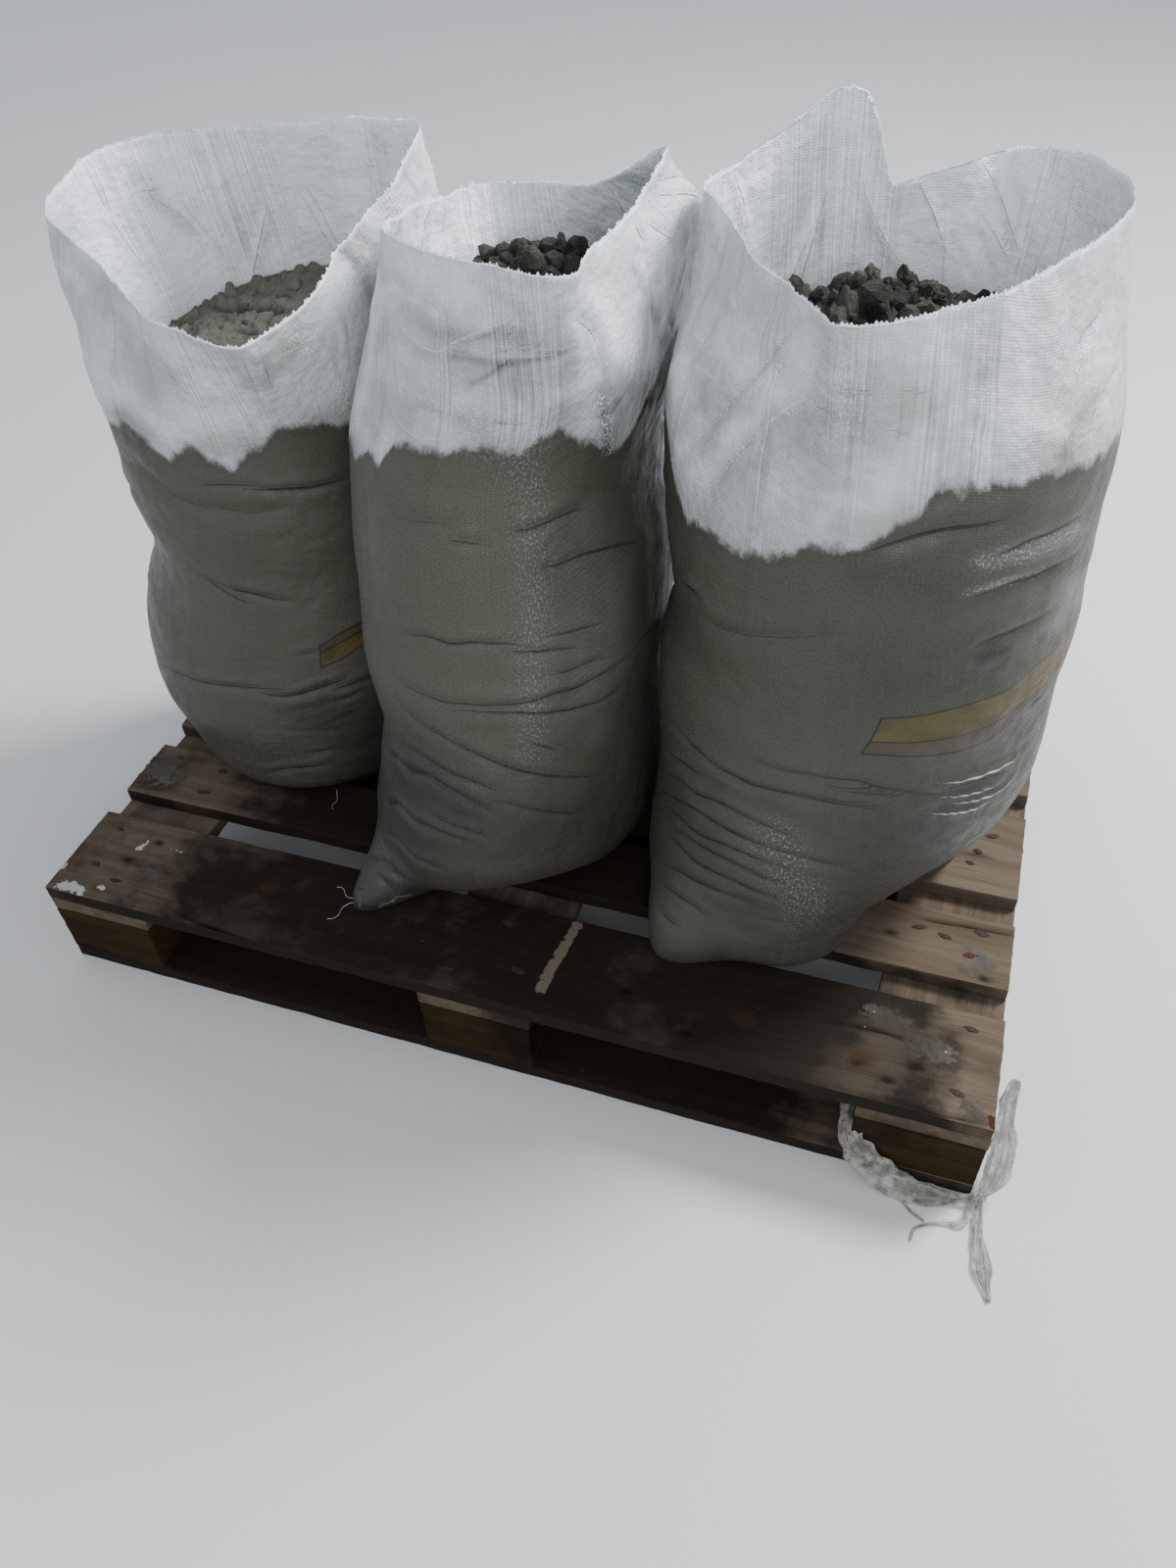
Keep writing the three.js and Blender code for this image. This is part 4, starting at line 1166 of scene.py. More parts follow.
def nail_nodes():
    """Flat nail heads in small torn hollows, on points."""
    nodes, given = node_group(
        "Nail heads",
        (
            ("Points", "Geometry", None), ("Head radius", "Float", 0.0042), ("Tear length", "Float", 0.0085),
            ("Sunk", "Float", 0.0006), ("Seed", "Int", 1), ("Material", "Material", None),
        ),
        (("Heads", "Geometry"),),
        "GeometryNodeTree",
    )

    def disc(sides, radius, taper, thickness):
        sizes = {"Vertices": sides, "Radius Top": radius * taper, "Radius Bottom": radius, "Depth": thickness}
        return nodes.add("GeometryNodeMeshCone", sizes)

    head = disc(14, given["Head radius"], 0.82, 0.0011)
    tear = disc(12, given["Tear length"], 0.7, 0.0004)
    narrow = nodes.add("GeometryNodeTransform", {"Geometry": tear, "Scale": (1.0, 0.48, 1.0)})
    both = nodes.place("GeometryNodeJoinGeometry")
    nodes.feed(both.inputs[0], head)
    nodes.feed(both.inputs[0], narrow)
    lean = nodes.random((-0.06, -0.06, -0.35), (0.06, 0.06, 0.35), given["Seed"])
    size = nodes.random((0.8, 0.75, 1.0), (1.35, 1.2, 1.0), given["Seed"])
    places = {"Points": given["Points"], "Instance": Wire(nodes, both.outputs[0]), "Rotation": lean, "Scale": size}
    placed = nodes.add("GeometryNodeInstanceOnPoints", places)
    down = nodes.join(0.0, 0.0, given["Sunk"] * -1.0)
    lowered = nodes.add("GeometryNodeTranslateInstances", {"Instances": placed, "Translation": down})
    real = nodes.add("GeometryNodeRealizeInstances", {0: lowered})
    return nodes.finish_mesh("Heads", real, given["Material"])


def edge_nodes():
    """Short cut tape ends standing along a line, as shears leave them."""
    nodes, given = node_group(
        "Cut tape ends",
        (
            ("Line", "Geometry", None), ("Pitch", "Float", 0.0037), ("Length", "Float", 0.0022),
            ("Thickness", "Float", 0.0007), ("Sideways", "Float", 0.8), ("Seed", "Int", 2),
            ("Material", "Material", None),
        ),
        (("Ends", "Geometry"),),
        "GeometryNodeTree",
    )
    even = nodes.place("GeometryNodeResampleCurve", mode="LENGTH")
    nodes.feed(even.inputs["Curve"], nodes.add("GeometryNodeMeshToCurve", {"Mesh": given["Line"]}))
    nodes.feed(even.inputs["Length"], given["Pitch"])
    along = {"Vector": nodes.add("GeometryNodeInputTangent")}
    turn = nodes.add("FunctionNodeAlignRotationToVector", along, axis="X", pivot_axis="AUTO")
    tooth = {"Vertices": 4, "Radius Top": 0.12, "Radius Bottom": 1.0, "Depth": 1.0}
    tooth = nodes.add("GeometryNodeMeshCone", tooth)
    longer = nodes.add("FunctionNodeRandomValue", {2: 0.3, 3: 1.5, "Seed": given["Seed"]}, 1, data_type="FLOAT")
    scale = nodes.join(given["Pitch"] * given["Sideways"], given["Thickness"], given["Length"] * longer)
    places = {"Points": Wire(nodes, even.outputs["Curve"]), "Instance": tooth, "Rotation": turn, "Scale": scale}
    real = nodes.add("GeometryNodeRealizeInstances", {0: nodes.add("GeometryNodeInstanceOnPoints", places)})
    return nodes.finish_mesh("Ends", real, given["Material"])


# Shader groups and materials


def weave_group():
    """Flat tapes woven over and under each other, from a cloth map in metres."""
    nodes, given = node_group(
        "Woven tapes",
        (("Cloth", "Vector", None), ("Tape width", "Float", 0.0026), ("Streaks", "Float", 0.25)),
        (("Height", "Float"), ("Streak", "Float"), ("Gap", "Float"), ("Rib", "Float")),
    )
    cloth = given["Cloth"]
    across, up, _ = cloth.split()
    warp, weft = across / given["Tape width"], up / given["Tape width"]

    def crown(value):
        centred = value.fract() - 0.5
        return centred * centred * -4.0 + 1.0

    over, under = crown(warp), crown(weft)
    odd = ((warp.floor() + weft.floor()) * 0.5).fract() * 2.0
    height = nodes.blend(odd, under * (over * 0.45 + 0.55), over * (under * 0.45 + 0.55))
    upward = nodes.noise(cloth.scaled((420.0, 5.0, 1.0)), 1.0, 2.0, 0.6).ramp(0.38, 0.66) - 0.5
    clusters = nodes.noise(cloth.scaled((22.0, 2.0, 1.0)), 1.0, 1.0).ramp(0.46, 0.64)
    gap = 1.0 - height.ramp(0.05, 0.35)
    rib = crown(weft * 0.45)
    return nodes.finish(Height=height, Streak=upward * clusters * given["Streaks"], Gap=gap, Rib=rib)


def fold_group():
    """Sharp crease lines from the signed distances to the nearest folds and how hard they are pressed."""
    nodes, given = node_group(
        "Pressed folds",
        (("Gap", "Vector", None), ("Force", "Vector", None), ("Width", "Float", 0.0017)),
        (("Line", "Float"), ("Lip", "Float"), ("Ridge", "Float")),
    )
    line = lip = ridge = 0.0
    for gap, force in zip(given["Gap"].split(), given["Force"].split()):
        apart = gap / ((abs(force) * 0.7 + 0.3) * given["Width"])
        near = abs(apart).ramp(1.0, 0.1) * force
        line, ridge = near.at_least(line), (near * -1.0).at_least(ridge)
        lip = (abs(apart - 1.7).ramp(1.2, 0.0) * force).at_least(lip)
    return nodes.finish(Line=line, Lip=lip, Ridge=ridge)


def grime_group():
    """Soft patches and small specks of dirt, here and there or, where specks is 1, everywhere."""
    nodes, given = node_group(
        "Grime",
        (
            ("Vector", "Vector", None), ("Patch size", "Float", 8.0), ("Speck size", "Float", 150.0),
            ("Specks", "Float", 0.0),
        ),
        (("Patches", "Float"), ("Specks", "Float")),
    )
    cloud = nodes.noise(given["Vector"], given["Patch size"], 5.0, 0.6)
    dots = 1.0 - nodes.cells(given["Vector"], given["Speck size"]).ramp(0.08, 0.2)
    sparse = nodes.noise(given["Vector"], given["Patch size"] * 2.3, 2.0).ramp(0.62, 0.7)
    sparse = given["Specks"].at_least(sparse)
    return nodes.finish(Patches=cloud.ramp(0.35, 0.7), Specks=dots * sparse)


def grain_group():
    """Sawn timber: fibres along one axis, darker late wood and a fuzzy surface."""
    nodes, given = node_group(
        "Sawn timber",
        (("Vector", "Vector", None), ("Turned", "Float", 0.0)),
        (("Rings", "Float"), ("Fibres", "Float"), ("Height", "Float")),
    )
    x, y, z = given["Vector"].split()
    along, beside = nodes.blend(given["Turned"], x, y), nodes.blend(given["Turned"], y, x)
    wander = nodes.noise(nodes.join(along, beside, z).scaled((3.0, 9.0, 9.0)), 1.0, 2.0)
    wave = nodes.join(along, wander * 0.05 + beside, z)
    rings = nodes.noise(wave.scaled((1.3, 75.0, 75.0)), 1.0, 3.0, 0.55)
    fibres = nodes.noise(wave.scaled((12.0, 620.0, 620.0)), 1.0, 3.0, 0.7)
    return nodes.finish(Rings=rings, Fibres=fibres, Height=rings * 0.6 + fibres * 0.5)


GROUPS = {}


def shared_groups():
    """The shader groups that several materials use, built once."""
    if not GROUPS:
        GROUPS.update(weave=weave_group(), folds=fold_group(), grime=grime_group(), grain=grain_group())
    return GROUPS


def new_material(name, **plain):
    """A material with its shader, and the values that are the same all over it."""
    material = bpy.data.materials.new(name)
    material.use_nodes = True
    shader = material.node_tree.nodes["Principled BSDF"]
    for key, value in plain.items():
        shader.inputs[key.replace("_", " ")].default_value = value
    return material, Nodes(material.node_tree), shader


def dress(nodes, shader, colour, rough, relief, strength, distance):
    """Feeds the three looks that every material varies: colour, roughness and relief."""
    nodes.feed(shader.inputs["Base Color"], colour)
    nodes.feed(shader.inputs["Roughness"], rough)
    surface = {"Height": relief, "Strength": strength, "Distance": distance}
    nodes.feed(shader.inputs["Normal"], nodes.add("ShaderNodeBump", surface))


def fabric_material(look):
    """White woven tapes: pale and thin where loose, grey where damp sand lies behind them, with painted light and
    shade: a lighter inner face, darker low down, dark crease lines, and marked highlights, sparkles and shade.
    """
    material, nodes, shader = new_material("woven_fabric", IOR=1.42, Coat_Roughness=0.3)
    cloth = nodes.add("ShaderNodeUVMap", output="UV", uv_map="tapes")
    place = nodes.object_place()
    weave = nodes.group("weave", {"Cloth": cloth, "Tape width": look.tape_width, "Streaks": look.streaks})
    grime = nodes.grime(place, 9.0, 210.0, 1.0)
    pressed = {"Gap": nodes.attribute("fold_gap", "Vector"), "Force": nodes.attribute("fold_force", "Vector")}
    folds = nodes.group("folds", pressed)
    damp, inside = nodes.attribute("damp"), nodes.attribute("inside")
    painted_shading, painted_glint, spatter = nodes.attribute("marks", "Vector").split()
    ragged = nodes.noise(cloth.scaled((1.0, 0.7, 1.0)), 48.0)
    stepped = nodes.noise(cloth.scaled((1.0, 0.6, 1.0)), 190.0, 2.0, 0.6)
    level = (stepped - 0.5) * 0.011 + ((ragged - 0.5) * 0.024 + damp)
    dry = level.ramp(-0.005, 0.008).at_least(inside * damp.ramp(-0.1, -0.09))

    cloud = nodes.noise(place.scaled((1.0, 1.0, 1.5)), 13.0, 4.0, 0.6)
    sheer = nodes.noise(place.scaled((1.0, 1.0, 2.2)), 21.0, 3.0, 0.55).ramp(0.52, 0.66)
    pale = nodes.mix(cloud.ramp(0.35, 0.65), look.dry_low, look.dry)
    pale = nodes.mix(sheer * 0.36, pale, look.dry_low)
    # Painted light: the inner face is drawn lighter than the outer face.
    pale = nodes.mix(inside * 0.75, pale, look.bright)
    fading = level.ramp(0.045, 0.0) * (1.0 - inside)
    pale = nodes.mix(fading * 0.34, pale, look.damp)
    x, _, _ = place.split()
    # Painted shade: the damp cloth darkens further below the damp line, partly as shade near the deck, most on the
    # middle sack's lower left, where the left sack shades it; the right sack is also drawn darker towards its right.
    shaded = x.ramp(0.02, -0.13) * x.ramp(-0.28, -0.2)
    low_damp_and_shade = (cloud * 0.12 + damp).ramp(-0.18, -0.46) * (shaded * 0.65 + 0.35) + x.ramp(0.15, 0.42) * 0.4
    wet = nodes.mix(low_damp_and_shade, look.damp, look.damp_low_and_shade)
    wet = nodes.mix(grime["Patches"] * 0.18, wet, look.damp_edge)
    wet = nodes.mix(level.ramp(-0.014, -0.003, 0.0, 0.4), wet, look.damp_edge)
    colour = nodes.mix(dry, wet, pale)
    speckle = nodes.noise(cloth, 420.0, 3.0, 0.7).ramp(0.3, 0.7) - 0.5
    # Weave gaps, streaks and fine speckle darken the colour, and the negative marks add painted shade.
    shade = weave["Gap"] * (dry * 0.04 - 0.16) + weave["Streak"] * (dry * 0.6 + 0.5)
    shade = speckle * (dry * -0.38 + 0.52) + shade + 1.0 + painted_shading.at_most(0.0)
    colour = nodes.mix(1.0, colour, nodes.join(shade, shade, shade), "MULTIPLY")
    colour = print_band(nodes, nodes.attribute("band", "Vector").split(), colour, cloth)
    # Painted light: the positive marks lighten the cloth, in ribs where it is damp.
    ribbed_highlight = (weave["Rib"] * 0.8 + 0.45) * (1.0 - dry) + dry
    colour = nodes.mix(painted_shading.at_least(0.0) * ribbed_highlight * (speckle * 0.6 + 1.0), colour, look.bright)
    # Painted highlight along the ridges of raised folds.
    colour = nodes.mix(folds["Ridge"] * (dry * -0.15 + 0.6), colour, look.bright)
    # Painted glints: near-white sparkles along the marked places.
    glint_sparkle = nodes.noise(cloth.scaled((480.0, 300.0, 1.0)), 1.0, 2.0, 0.6).ramp(0.52, 0.66)
    colour = nodes.mix(glint_sparkle * painted_glint, colour, (0.97, 0.98, 1.0))
    # Painted shade: crease lines drawn nearly black, fainter on the dry cloth.
    uneven = nodes.noise(place, 60.0).ramp(0.3, 0.6, 0.45, 1.0)
    colour = nodes.mix(folds["Line"] * uneven * (dry * -0.72 + 0.9), colour, (0.012, 0.012, 0.011))
    colour = nodes.mix(grime["Specks"] * spatter, colour, (0.05, 0.045, 0.035))

    gloss = nodes.noise(cloth.scaled((60.0, 40.0, 1.0)), 1.0, 4.0, 0.65)
    rough = gloss.ramp(0.3, 0.7, look.gloss - 0.1, look.gloss + 0.14) + (1.0 - dry) * 0.14 - painted_glint * 0.1
    crumple = nodes.cells(cloth.scaled((95.0, 120.0, 1.0)), 1.0) + nodes.noise(cloth, 210.0, 3.0, 0.6) * 0.9
    relief = crumple * (dry * 0.0012 + 0.00012) + weave["Height"] * (dry * 0.0002 + 0.00024)
    relief = weave["Streak"] * (dry * 0.0007 + 0.0002) + relief
    relief = folds["Lip"] * 0.0009 + folds["Line"] * -0.0014 + relief
    nodes.feed(shader.inputs["Coat Weight"], dry * 0.3 + 0.08)
    dress(nodes, shader, colour, rough, relief, 1.0, 1.0)
    return material


def print_band(nodes, band, colour, cloth):
    """A worn plain ochre band with a thin dark outline and one dividing line."""
    from_left, down, height = band
    inside = (from_left < 0.36) * (from_left > 0.0) * (down > 0.0) * (down < 1.0)
    rule = abs(down - 0.64) * height + 0.0012
    edge = (down * height).at_most((1.0 - down) * height).at_most(from_left.at_most(rule))
    worn = nodes.noise(cloth.scaled((300.0, 300.0, 1.0)), 1.0, 3.0, 0.7).ramp(0.28, 0.5)
    patchy = nodes.noise(cloth, 34.0, 3.0, 0.6).ramp(0.38, 0.62)
    ochre = nodes.mix(patchy, (0.038, 0.028, 0.006), (0.064, 0.046, 0.007))
    ochre = nodes.mix(from_left.ramp(0.06, 0.2), ochre, (0.070, 0.043, 0.014))
    ochre = nodes.mix(down > 0.64, ochre, (0.042, 0.031, 0.018))
    ink = nodes.mix(edge < 0.0021, ochre, (0.006, 0.006, 0.004))
    return nodes.mix(inside * (worn * 0.2 + 0.8), colour, ink)


def sand_material(look):
    """Damp grey-brown sand with dry crests, paler where it lies smooth, with painted shade in its cracks and hollows.
    """
    material, nodes, shader = new_material("damp_sand", IOR=1.4, Specular_IOR_Level=0.15)
    place = nodes.object_place()
    broad = nodes.noise(place, 24.0, 4.0, 0.6)
    grain = nodes.noise(place, 900.0, 2.0, 0.7)
    colour = nodes.mix(broad.ramp(0.3, 0.7), look.sand_dark, look.sand)
    colour = nodes.mix(nodes.attribute("smooth"), colour, look.sand_pale)
    colour = nodes.mix(grain.ramp(0.5, 0.75) * 0.3, colour, look.sand_pale)
    colour = nodes.mix(grain.ramp(0.5, 0.28) * 0.5, colour, (0.02, 0.018, 0.015))
    # Painted shade in the cracks and hollows.
    colour = nodes.mix(nodes.attribute("crack") * 0.85, colour, (0.012, 0.011, 0.010))
    relief = nodes.noise(place, 260.0, 3.0, 0.6) * 1.5 + grain
    dress(nodes, shader, colour, broad.ramp(0.3, 0.7, 0.78, 0.97), relief, 1.0, 0.0028)
    return material


def wood_material(name, look, turned, block=False):
    """Old sawn softwood, dark in places for damp and as painted shade, grey and worn in others, with painted shade in
    its cracks and gouges.
    """
    material, nodes, shader = new_material(name, IOR=1.45, Specular_IOR_Level=0.04)
    place = nodes.object_place()
    grain = nodes.group("grain", {"Vector": place, "Turned": turned})
    grime = nodes.grime(place, 7.0, 95.0)
    dark, light, stain = look.wood_wet, look.wood, look.wood_stain
    if block:
        dark, light, stain = look.block_dark, look.block, look.block_stain
    colour = nodes.mix(grain["Rings"].ramp(0.3, 0.7) * 0.6, light, stain)
    colour = nodes.mix(grain["Fibres"].ramp(0.45, 0.75) * 0.4, colour, dark)
    # Darker patches, for damp wood and as painted shade.
    wet_and_shade_patches = (grime["Patches"] - 0.5) * 0.7 + nodes.attribute("wet")
    colour = nodes.mix(wet_and_shade_patches.ramp(0.15, 0.85) * 0.9, colour, dark)
    colour = nodes.mix(grime["Specks"] * 0.7, colour, (0.02, 0.016, 0.012))
    # Painted shade: cracks and gouges drawn nearly black.
    colour = nodes.mix(nodes.attribute("groove"), colour, (0.006, 0.005, 0.004))
    colour = nodes.mix(nodes.attribute("knot") * 0.75, colour, (0.030, 0.016, 0.008))
    if not block:
        uneven = (nodes.noise(place, 90.0, 5.0, 0.75) - 0.5) * 3.0
        crumbs = uneven + nodes.attribute("sandy")
        spilled = nodes.mix(grime["Patches"], look.sand_dark, look.sand)
        colour = nodes.mix(crumbs.ramp(0.4, 0.75) * 0.85, colour, spilled)
        dabs = (uneven + nodes.attribute("paint")).ramp(0.5, 0.62) * nodes.attribute("paint").ramp(0.03, 0.1)
        colour = nodes.mix(dabs, colour, (0.31, 0.32, 0.30))
        scrap = (uneven + 1.0) * nodes.attribute("chip") * -1.0
        colour = nodes.mix(scrap.ramp(0.5, 0.6), colour, (0.115, 0.093, 0.070))
        chip = nodes.noise(place, 120.0, 3.0, 0.7) * nodes.attribute("chip") * 2.0
        colour = nodes.mix(chip.ramp(0.45, 0.55), colour, (0.045, 0.016, 0.009))
    dress(nodes, shader, colour, wet_and_shade_patches.ramp(0.2, 1.0, 0.85, 0.6), grain["Height"], 0.8, 0.0011)
    return material


def film_material():
    """Thin clouded film, crumpled and dusty."""
    material, nodes, shader = new_material("torn_film", IOR=1.5, Alpha=0.55)
    place = nodes.object_place()
    grime = nodes.grime(place, 16.0, 260.0)
    crinkle = nodes.noise(place, 75.0, 5.0, 0.7)
    colour = nodes.mix(crinkle.ramp(0.35, 0.7), (0.14, 0.13, 0.11), (0.50, 0.49, 0.46))
    colour = nodes.mix(grime["Patches"] * 0.4, colour, (0.10, 0.08, 0.05))
    dress(nodes, shader, colour, crinkle.ramp(0.3, 0.7, 0.22, 0.45), crinkle, 0.9, 0.003)
    return material


def plain_material(name, scale, bottom, top, rough, depth):
    """A small finish of two tones of fine noise: nail iron, thread or cut tapes."""
    material, nodes, shader = new_material(name, Specular_IOR_Level=0.15)
    fuzz = nodes.noise(nodes.object_place(), scale, 3.0, 0.65)
    dress(nodes, shader, nodes.mix(fuzz.ramp(0.3, 0.7), bottom, top), fuzz.ramp(0.3, 0.7, *rough), fuzz, 0.8, depth)
    return material


# The pallet


def deck_place(pixel):
    """Where a pixel of the photograph lies on the deck, in millimetres."""
    way = trace_rays([pixel])[0]
    return (EYE + way * (DECK_Z / 1000 - EYE[2]) / way[2]) * 1000


# Marks in the deck boards, as pixels of the photograph
NAIL_PIXELS = {
    (0, 0): "122,845 98,881 117,898",
    (0, 2): "991,1050 942,1076 977,1115",
    (1, 2): "938,946 964,955 1003,953 991,975",
    (2, 2): "1013,853 998,868 990,880",
}
GOUGES = "162,859 130,876 933,1088 905,1101 1004,998 908,950 874,1083 700,1052 640,1010 205,985"
KNOTS = "966,1072 880,1078 275,905 760,1040"
CRACKS = """
    1 5 935,936 985,944 1036,954; 0 3 172,925 200,940 225,949 262,962; 0 2.5 905,1120 960,1138 1010,1147; 0 2
    840,1040 900,1052 940,1066; 2 3 940,858 975,866 1010,874"""
PAINT = """
    9 64,902 82,909; 6 58,881 66,883; 4 102,904 105,905; 3.5 140,866 151,859; 3 176,867 186,870; 3 140,873 142,875;
    3 1004,1143 1006,1149; 2.6 885,1030 892,1033; 2 920,1060 926,1063; 2.2 962,1072 968,1074; 2 881,1046 884,1048"""
CHIPS = "5 1 1012,1141 1014,1149; 8.5 -1 589,944 578,962 564,984 552,1009"
SAND_PATCHES = """
    30 152,778 172,790; 7 146,888 160,886; 12 890,1030 920,1045; 14 930,1065 965,1075; 9 990,965 1010,985; 12
    985,1130 1000,1140; 10 1010,985 985,990"""
# Grid of the two front deck boards: step in millimetres along, points across
FRONT_BOARD_GRIDS = {0: (3.8, 44), 1: (5.0, 28)}


def near_line(points, pixels):
    """Distance in millimetres on the deck from a line given in pixels, and the share along it."""
    line = np.array([deck_place(p)[:2] for p in pixels])
    gap, share = along_line(line, points[:, :2])
    return np.abs(gap), share


def timber_grid(low, high, axis, step, across, sides, under):
    """A cuboid as rings of points along one axis, closed at both ends."""
    other = 1 - axis
    length = high[axis] - low[axis]
    ends = np.array([0, 0.8, 2, 3.5, 5.5, 8])
    count = max(2, int((length - 16) / step))
    along = np.concatenate([ends, np.linspace(8, length - 8, count)[1:-1], length - ends[::-1]])

    def spaced(size, count):
        edge = np.array([0, 0.8, 2, 4] if size < 30 else [0, 0.8, 2, 3.5, 5.5])
        middle = np.linspace(edge[-1], size - edge[-1], count)[1:-1]
        return np.concatenate([edge, middle, size - edge[::-1]])

    width, height = high[other] - low[other], high[2] - low[2]
    top, side, bottom = spaced(width, across), spaced(height, sides), spaced(width, under)
    outline = [(a, height) for a in top[:-1]] + [(width, b) for b in side[:0:-1]]
    outline += [(a, 0) for a in bottom[:0:-1]] + [(0, b) for b in side[:-1]]
    outline = np.array(outline) - (width / 2, height / 2)
    closing = np.array([0.04, 0.4, 0.75, 0.93])
    shares = np.concatenate([closing, np.ones(len(along)), closing[::-1]])
    places = np.concatenate([np.zeros(4), along, np.full(4, length)])
    rings = outline * shares[:, None, None]
    grid = np.empty((*rings.shape[:2], 3))
    grid[..., axis] = low[axis] + places[:, None]
    grid[..., other] = (low[other] + high[other]) / 2 + rings[..., 0]
    grid[..., 2] = (low[2] + high[2]) / 2 + rings[..., 1]
    return grid


def wear_timber(points, low, high, axis, seed):
    """Rounds and chews the edges and roughens the faces, only ever inwards."""
    stretch = np.full(3, 26.0)
    stretch[axis] = 120.0
    chewed = np.clip(lattice_noise(points / stretch * 1.6, seed), 0, 1)
    nibbled = np.clip(lattice_noise(points / stretch * 5, seed + 9), 0, 1)
    radius = 1.6 + (5.0 * chewed**1.5 + 2.4 * nibbled)
    thin = min(high[2] - low[2], 40) * 0.45
    radius = np.minimum(radius, thin)[:, None]
    core = np.clip(points, low + radius, high - radius)
    away = points - core
    length = np.linalg.norm(away, axis=1, keepdims=True)
    rounded = core + away * np.where(length > 1e-9, np.minimum(1, radius / np.maximum(length, 1e-9)), 1)
    way = np.where(length > 1e-9, away / np.maximum(length, 1e-9), 0)
    waves = 0.5 + 0.5 * lattice_noise(points / stretch * 0.7, seed + 3)
    fuzz = 0.5 + 0.5 * lattice_noise(points / stretch * 7, seed + 5)
    rounded -= way * (0.9 * waves + 0.5 * fuzz)[:, None]
    ends = np.minimum(points[:, axis] - low[axis], high[axis] - points[:, axis]) < 1
    torn = 0.5 + 0.5 * lattice_noise(points / 7, seed + 6)
    side = np.sign(points[:, axis] - (low[axis] + high[axis]) / 2)
    rounded[:, axis] -= np.where(ends, side * torn * 2.2, 0)
    return rounded


def mark_board(row, plain, points, upper):
    """Cuts cracks, gouges and knots into a deck board and lays crumbs on it. Gives its marks by name; the cracks and
    gouges are also drawn dark as painted shade.
    """
    groove, knot, sandy, paint, chip = (np.zeros(len(plain)) for _ in range(5))

    def patch(reach, line):
        return bell(near_line(plain, line)[0] / reach) * upper

    for board, depth, line in marks_of(CRACKS):
        if board != row:
            continue
        gap, share = near_line(plain, line)
        gap = np.abs(gap + 1.2 * lattice_noise(plain / (30, 400, 400), 5))
        cut = bell(gap / 2.4) * tapered(share, 0.03, 0.4) * upper
        points[:, 2] -= depth * cut
        groove = np.maximum(groove, cut)
    for pixel in rows_of(GOUGES):
        off = (plain[:, :2] - deck_place(pixel)[:2]) / (8.0, 4.2)
        cut = np.exp(-(off**2).sum(axis=1)) * upper
        points[:, 2] -= 3.0 * cut
        groove = np.maximum(groove, cut)
    for pixel in rows_of(KNOTS):
        off = np.linalg.norm((plain[:, :2] - deck_place(pixel)[:2]) / (15.0, 11.0), axis=1)
        knot = np.maximum(knot, np.exp(-(off**4)) * upper)
        points[:, 2] -= 0.8 * np.exp(-((off - 1) ** 2) * 30) * upper
    for reach, line in marks_of(PAINT):
        paint = np.maximum(paint, (0.55 if reach < 3.2 else 1.0) * patch(reach, line))
    for reach, side, line in marks_of(CHIPS):
        chip += side * patch(reach, line)
    for reach, line in marks_of(SAND_PATCHES):
        sandy = np.maximum(sandy, patch(reach, line))
    crumbs = lattice_noise(plain / 5, 21) + 0.6 * lattice_noise(plain / 2.6, 22)
    points[:, 2] += np.where(sandy > 0.35, np.clip(crumbs, 0, 1) * 5.0 * sandy, 0)
    return {"groove": groove, "knot": knot, "sandy": sandy, "paint": paint, "chip": chip}


def build_timber(node, material, axis, step, across, sides, under, row=None):
    """One worn board or block in the place of its solid, tied to the frame."""
    low, high = (np.array(c) * 1000 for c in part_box(node))
    grid = timber_grid(low, high, axis, step, across, sides, under)
    plain = grid.reshape(-1, 3)
    points = wear_timber(plain, low, high, axis, sum(ord(c) for c in node) * 7 % 997)
    total = len(points)
    upper = plain[:, 2] > high[2] - 0.5
    marks = dict.fromkeys(("groove", "knot", "sandy", "paint", "chip"), np.zeros(total))
    if row is not None:
        marks = mark_board(row, plain, points, upper)
    # Painted shade as well as damp: a middling share everywhere, and on the lengthwise boards more in the middle,
    # where the sacks' shadow falls, on the sides and undersides, on the bottom boards and on the right of the front
    # board.
    wet = np.full(total, 0.35)
    if axis == 0 and not node.startswith("block"):
        x = plain[:, 0]
        wet = 0.95 - 0.95 * smoothstep(200, 470, x) - 0.5 * smoothstep(-330, -520, x)
        wet += 0.5 * (~upper) + 0.4 * (plain[:, 2] < 30)
        wet += 0.92 * (row == 0) * smoothstep(200, 420, x) * (1 - 0.8 * smoothstep(500, 580, x))
    quads = strips(np.arange(total).reshape(grid.shape[:2]))
    first, last = list(range(grid.shape[1])), list(range(total - grid.shape[1], total))
    faces = (quads[:, ::-1] if axis == 0 else quads).tolist()
    faces += [first, last[::-1]] if axis == 0 else [first[::-1], last]
    made = make_object(f"{node}_worn", points / 1000, faces, material)
    set_points(made, wet=wet, **marks)
    finish_piece(made, node)


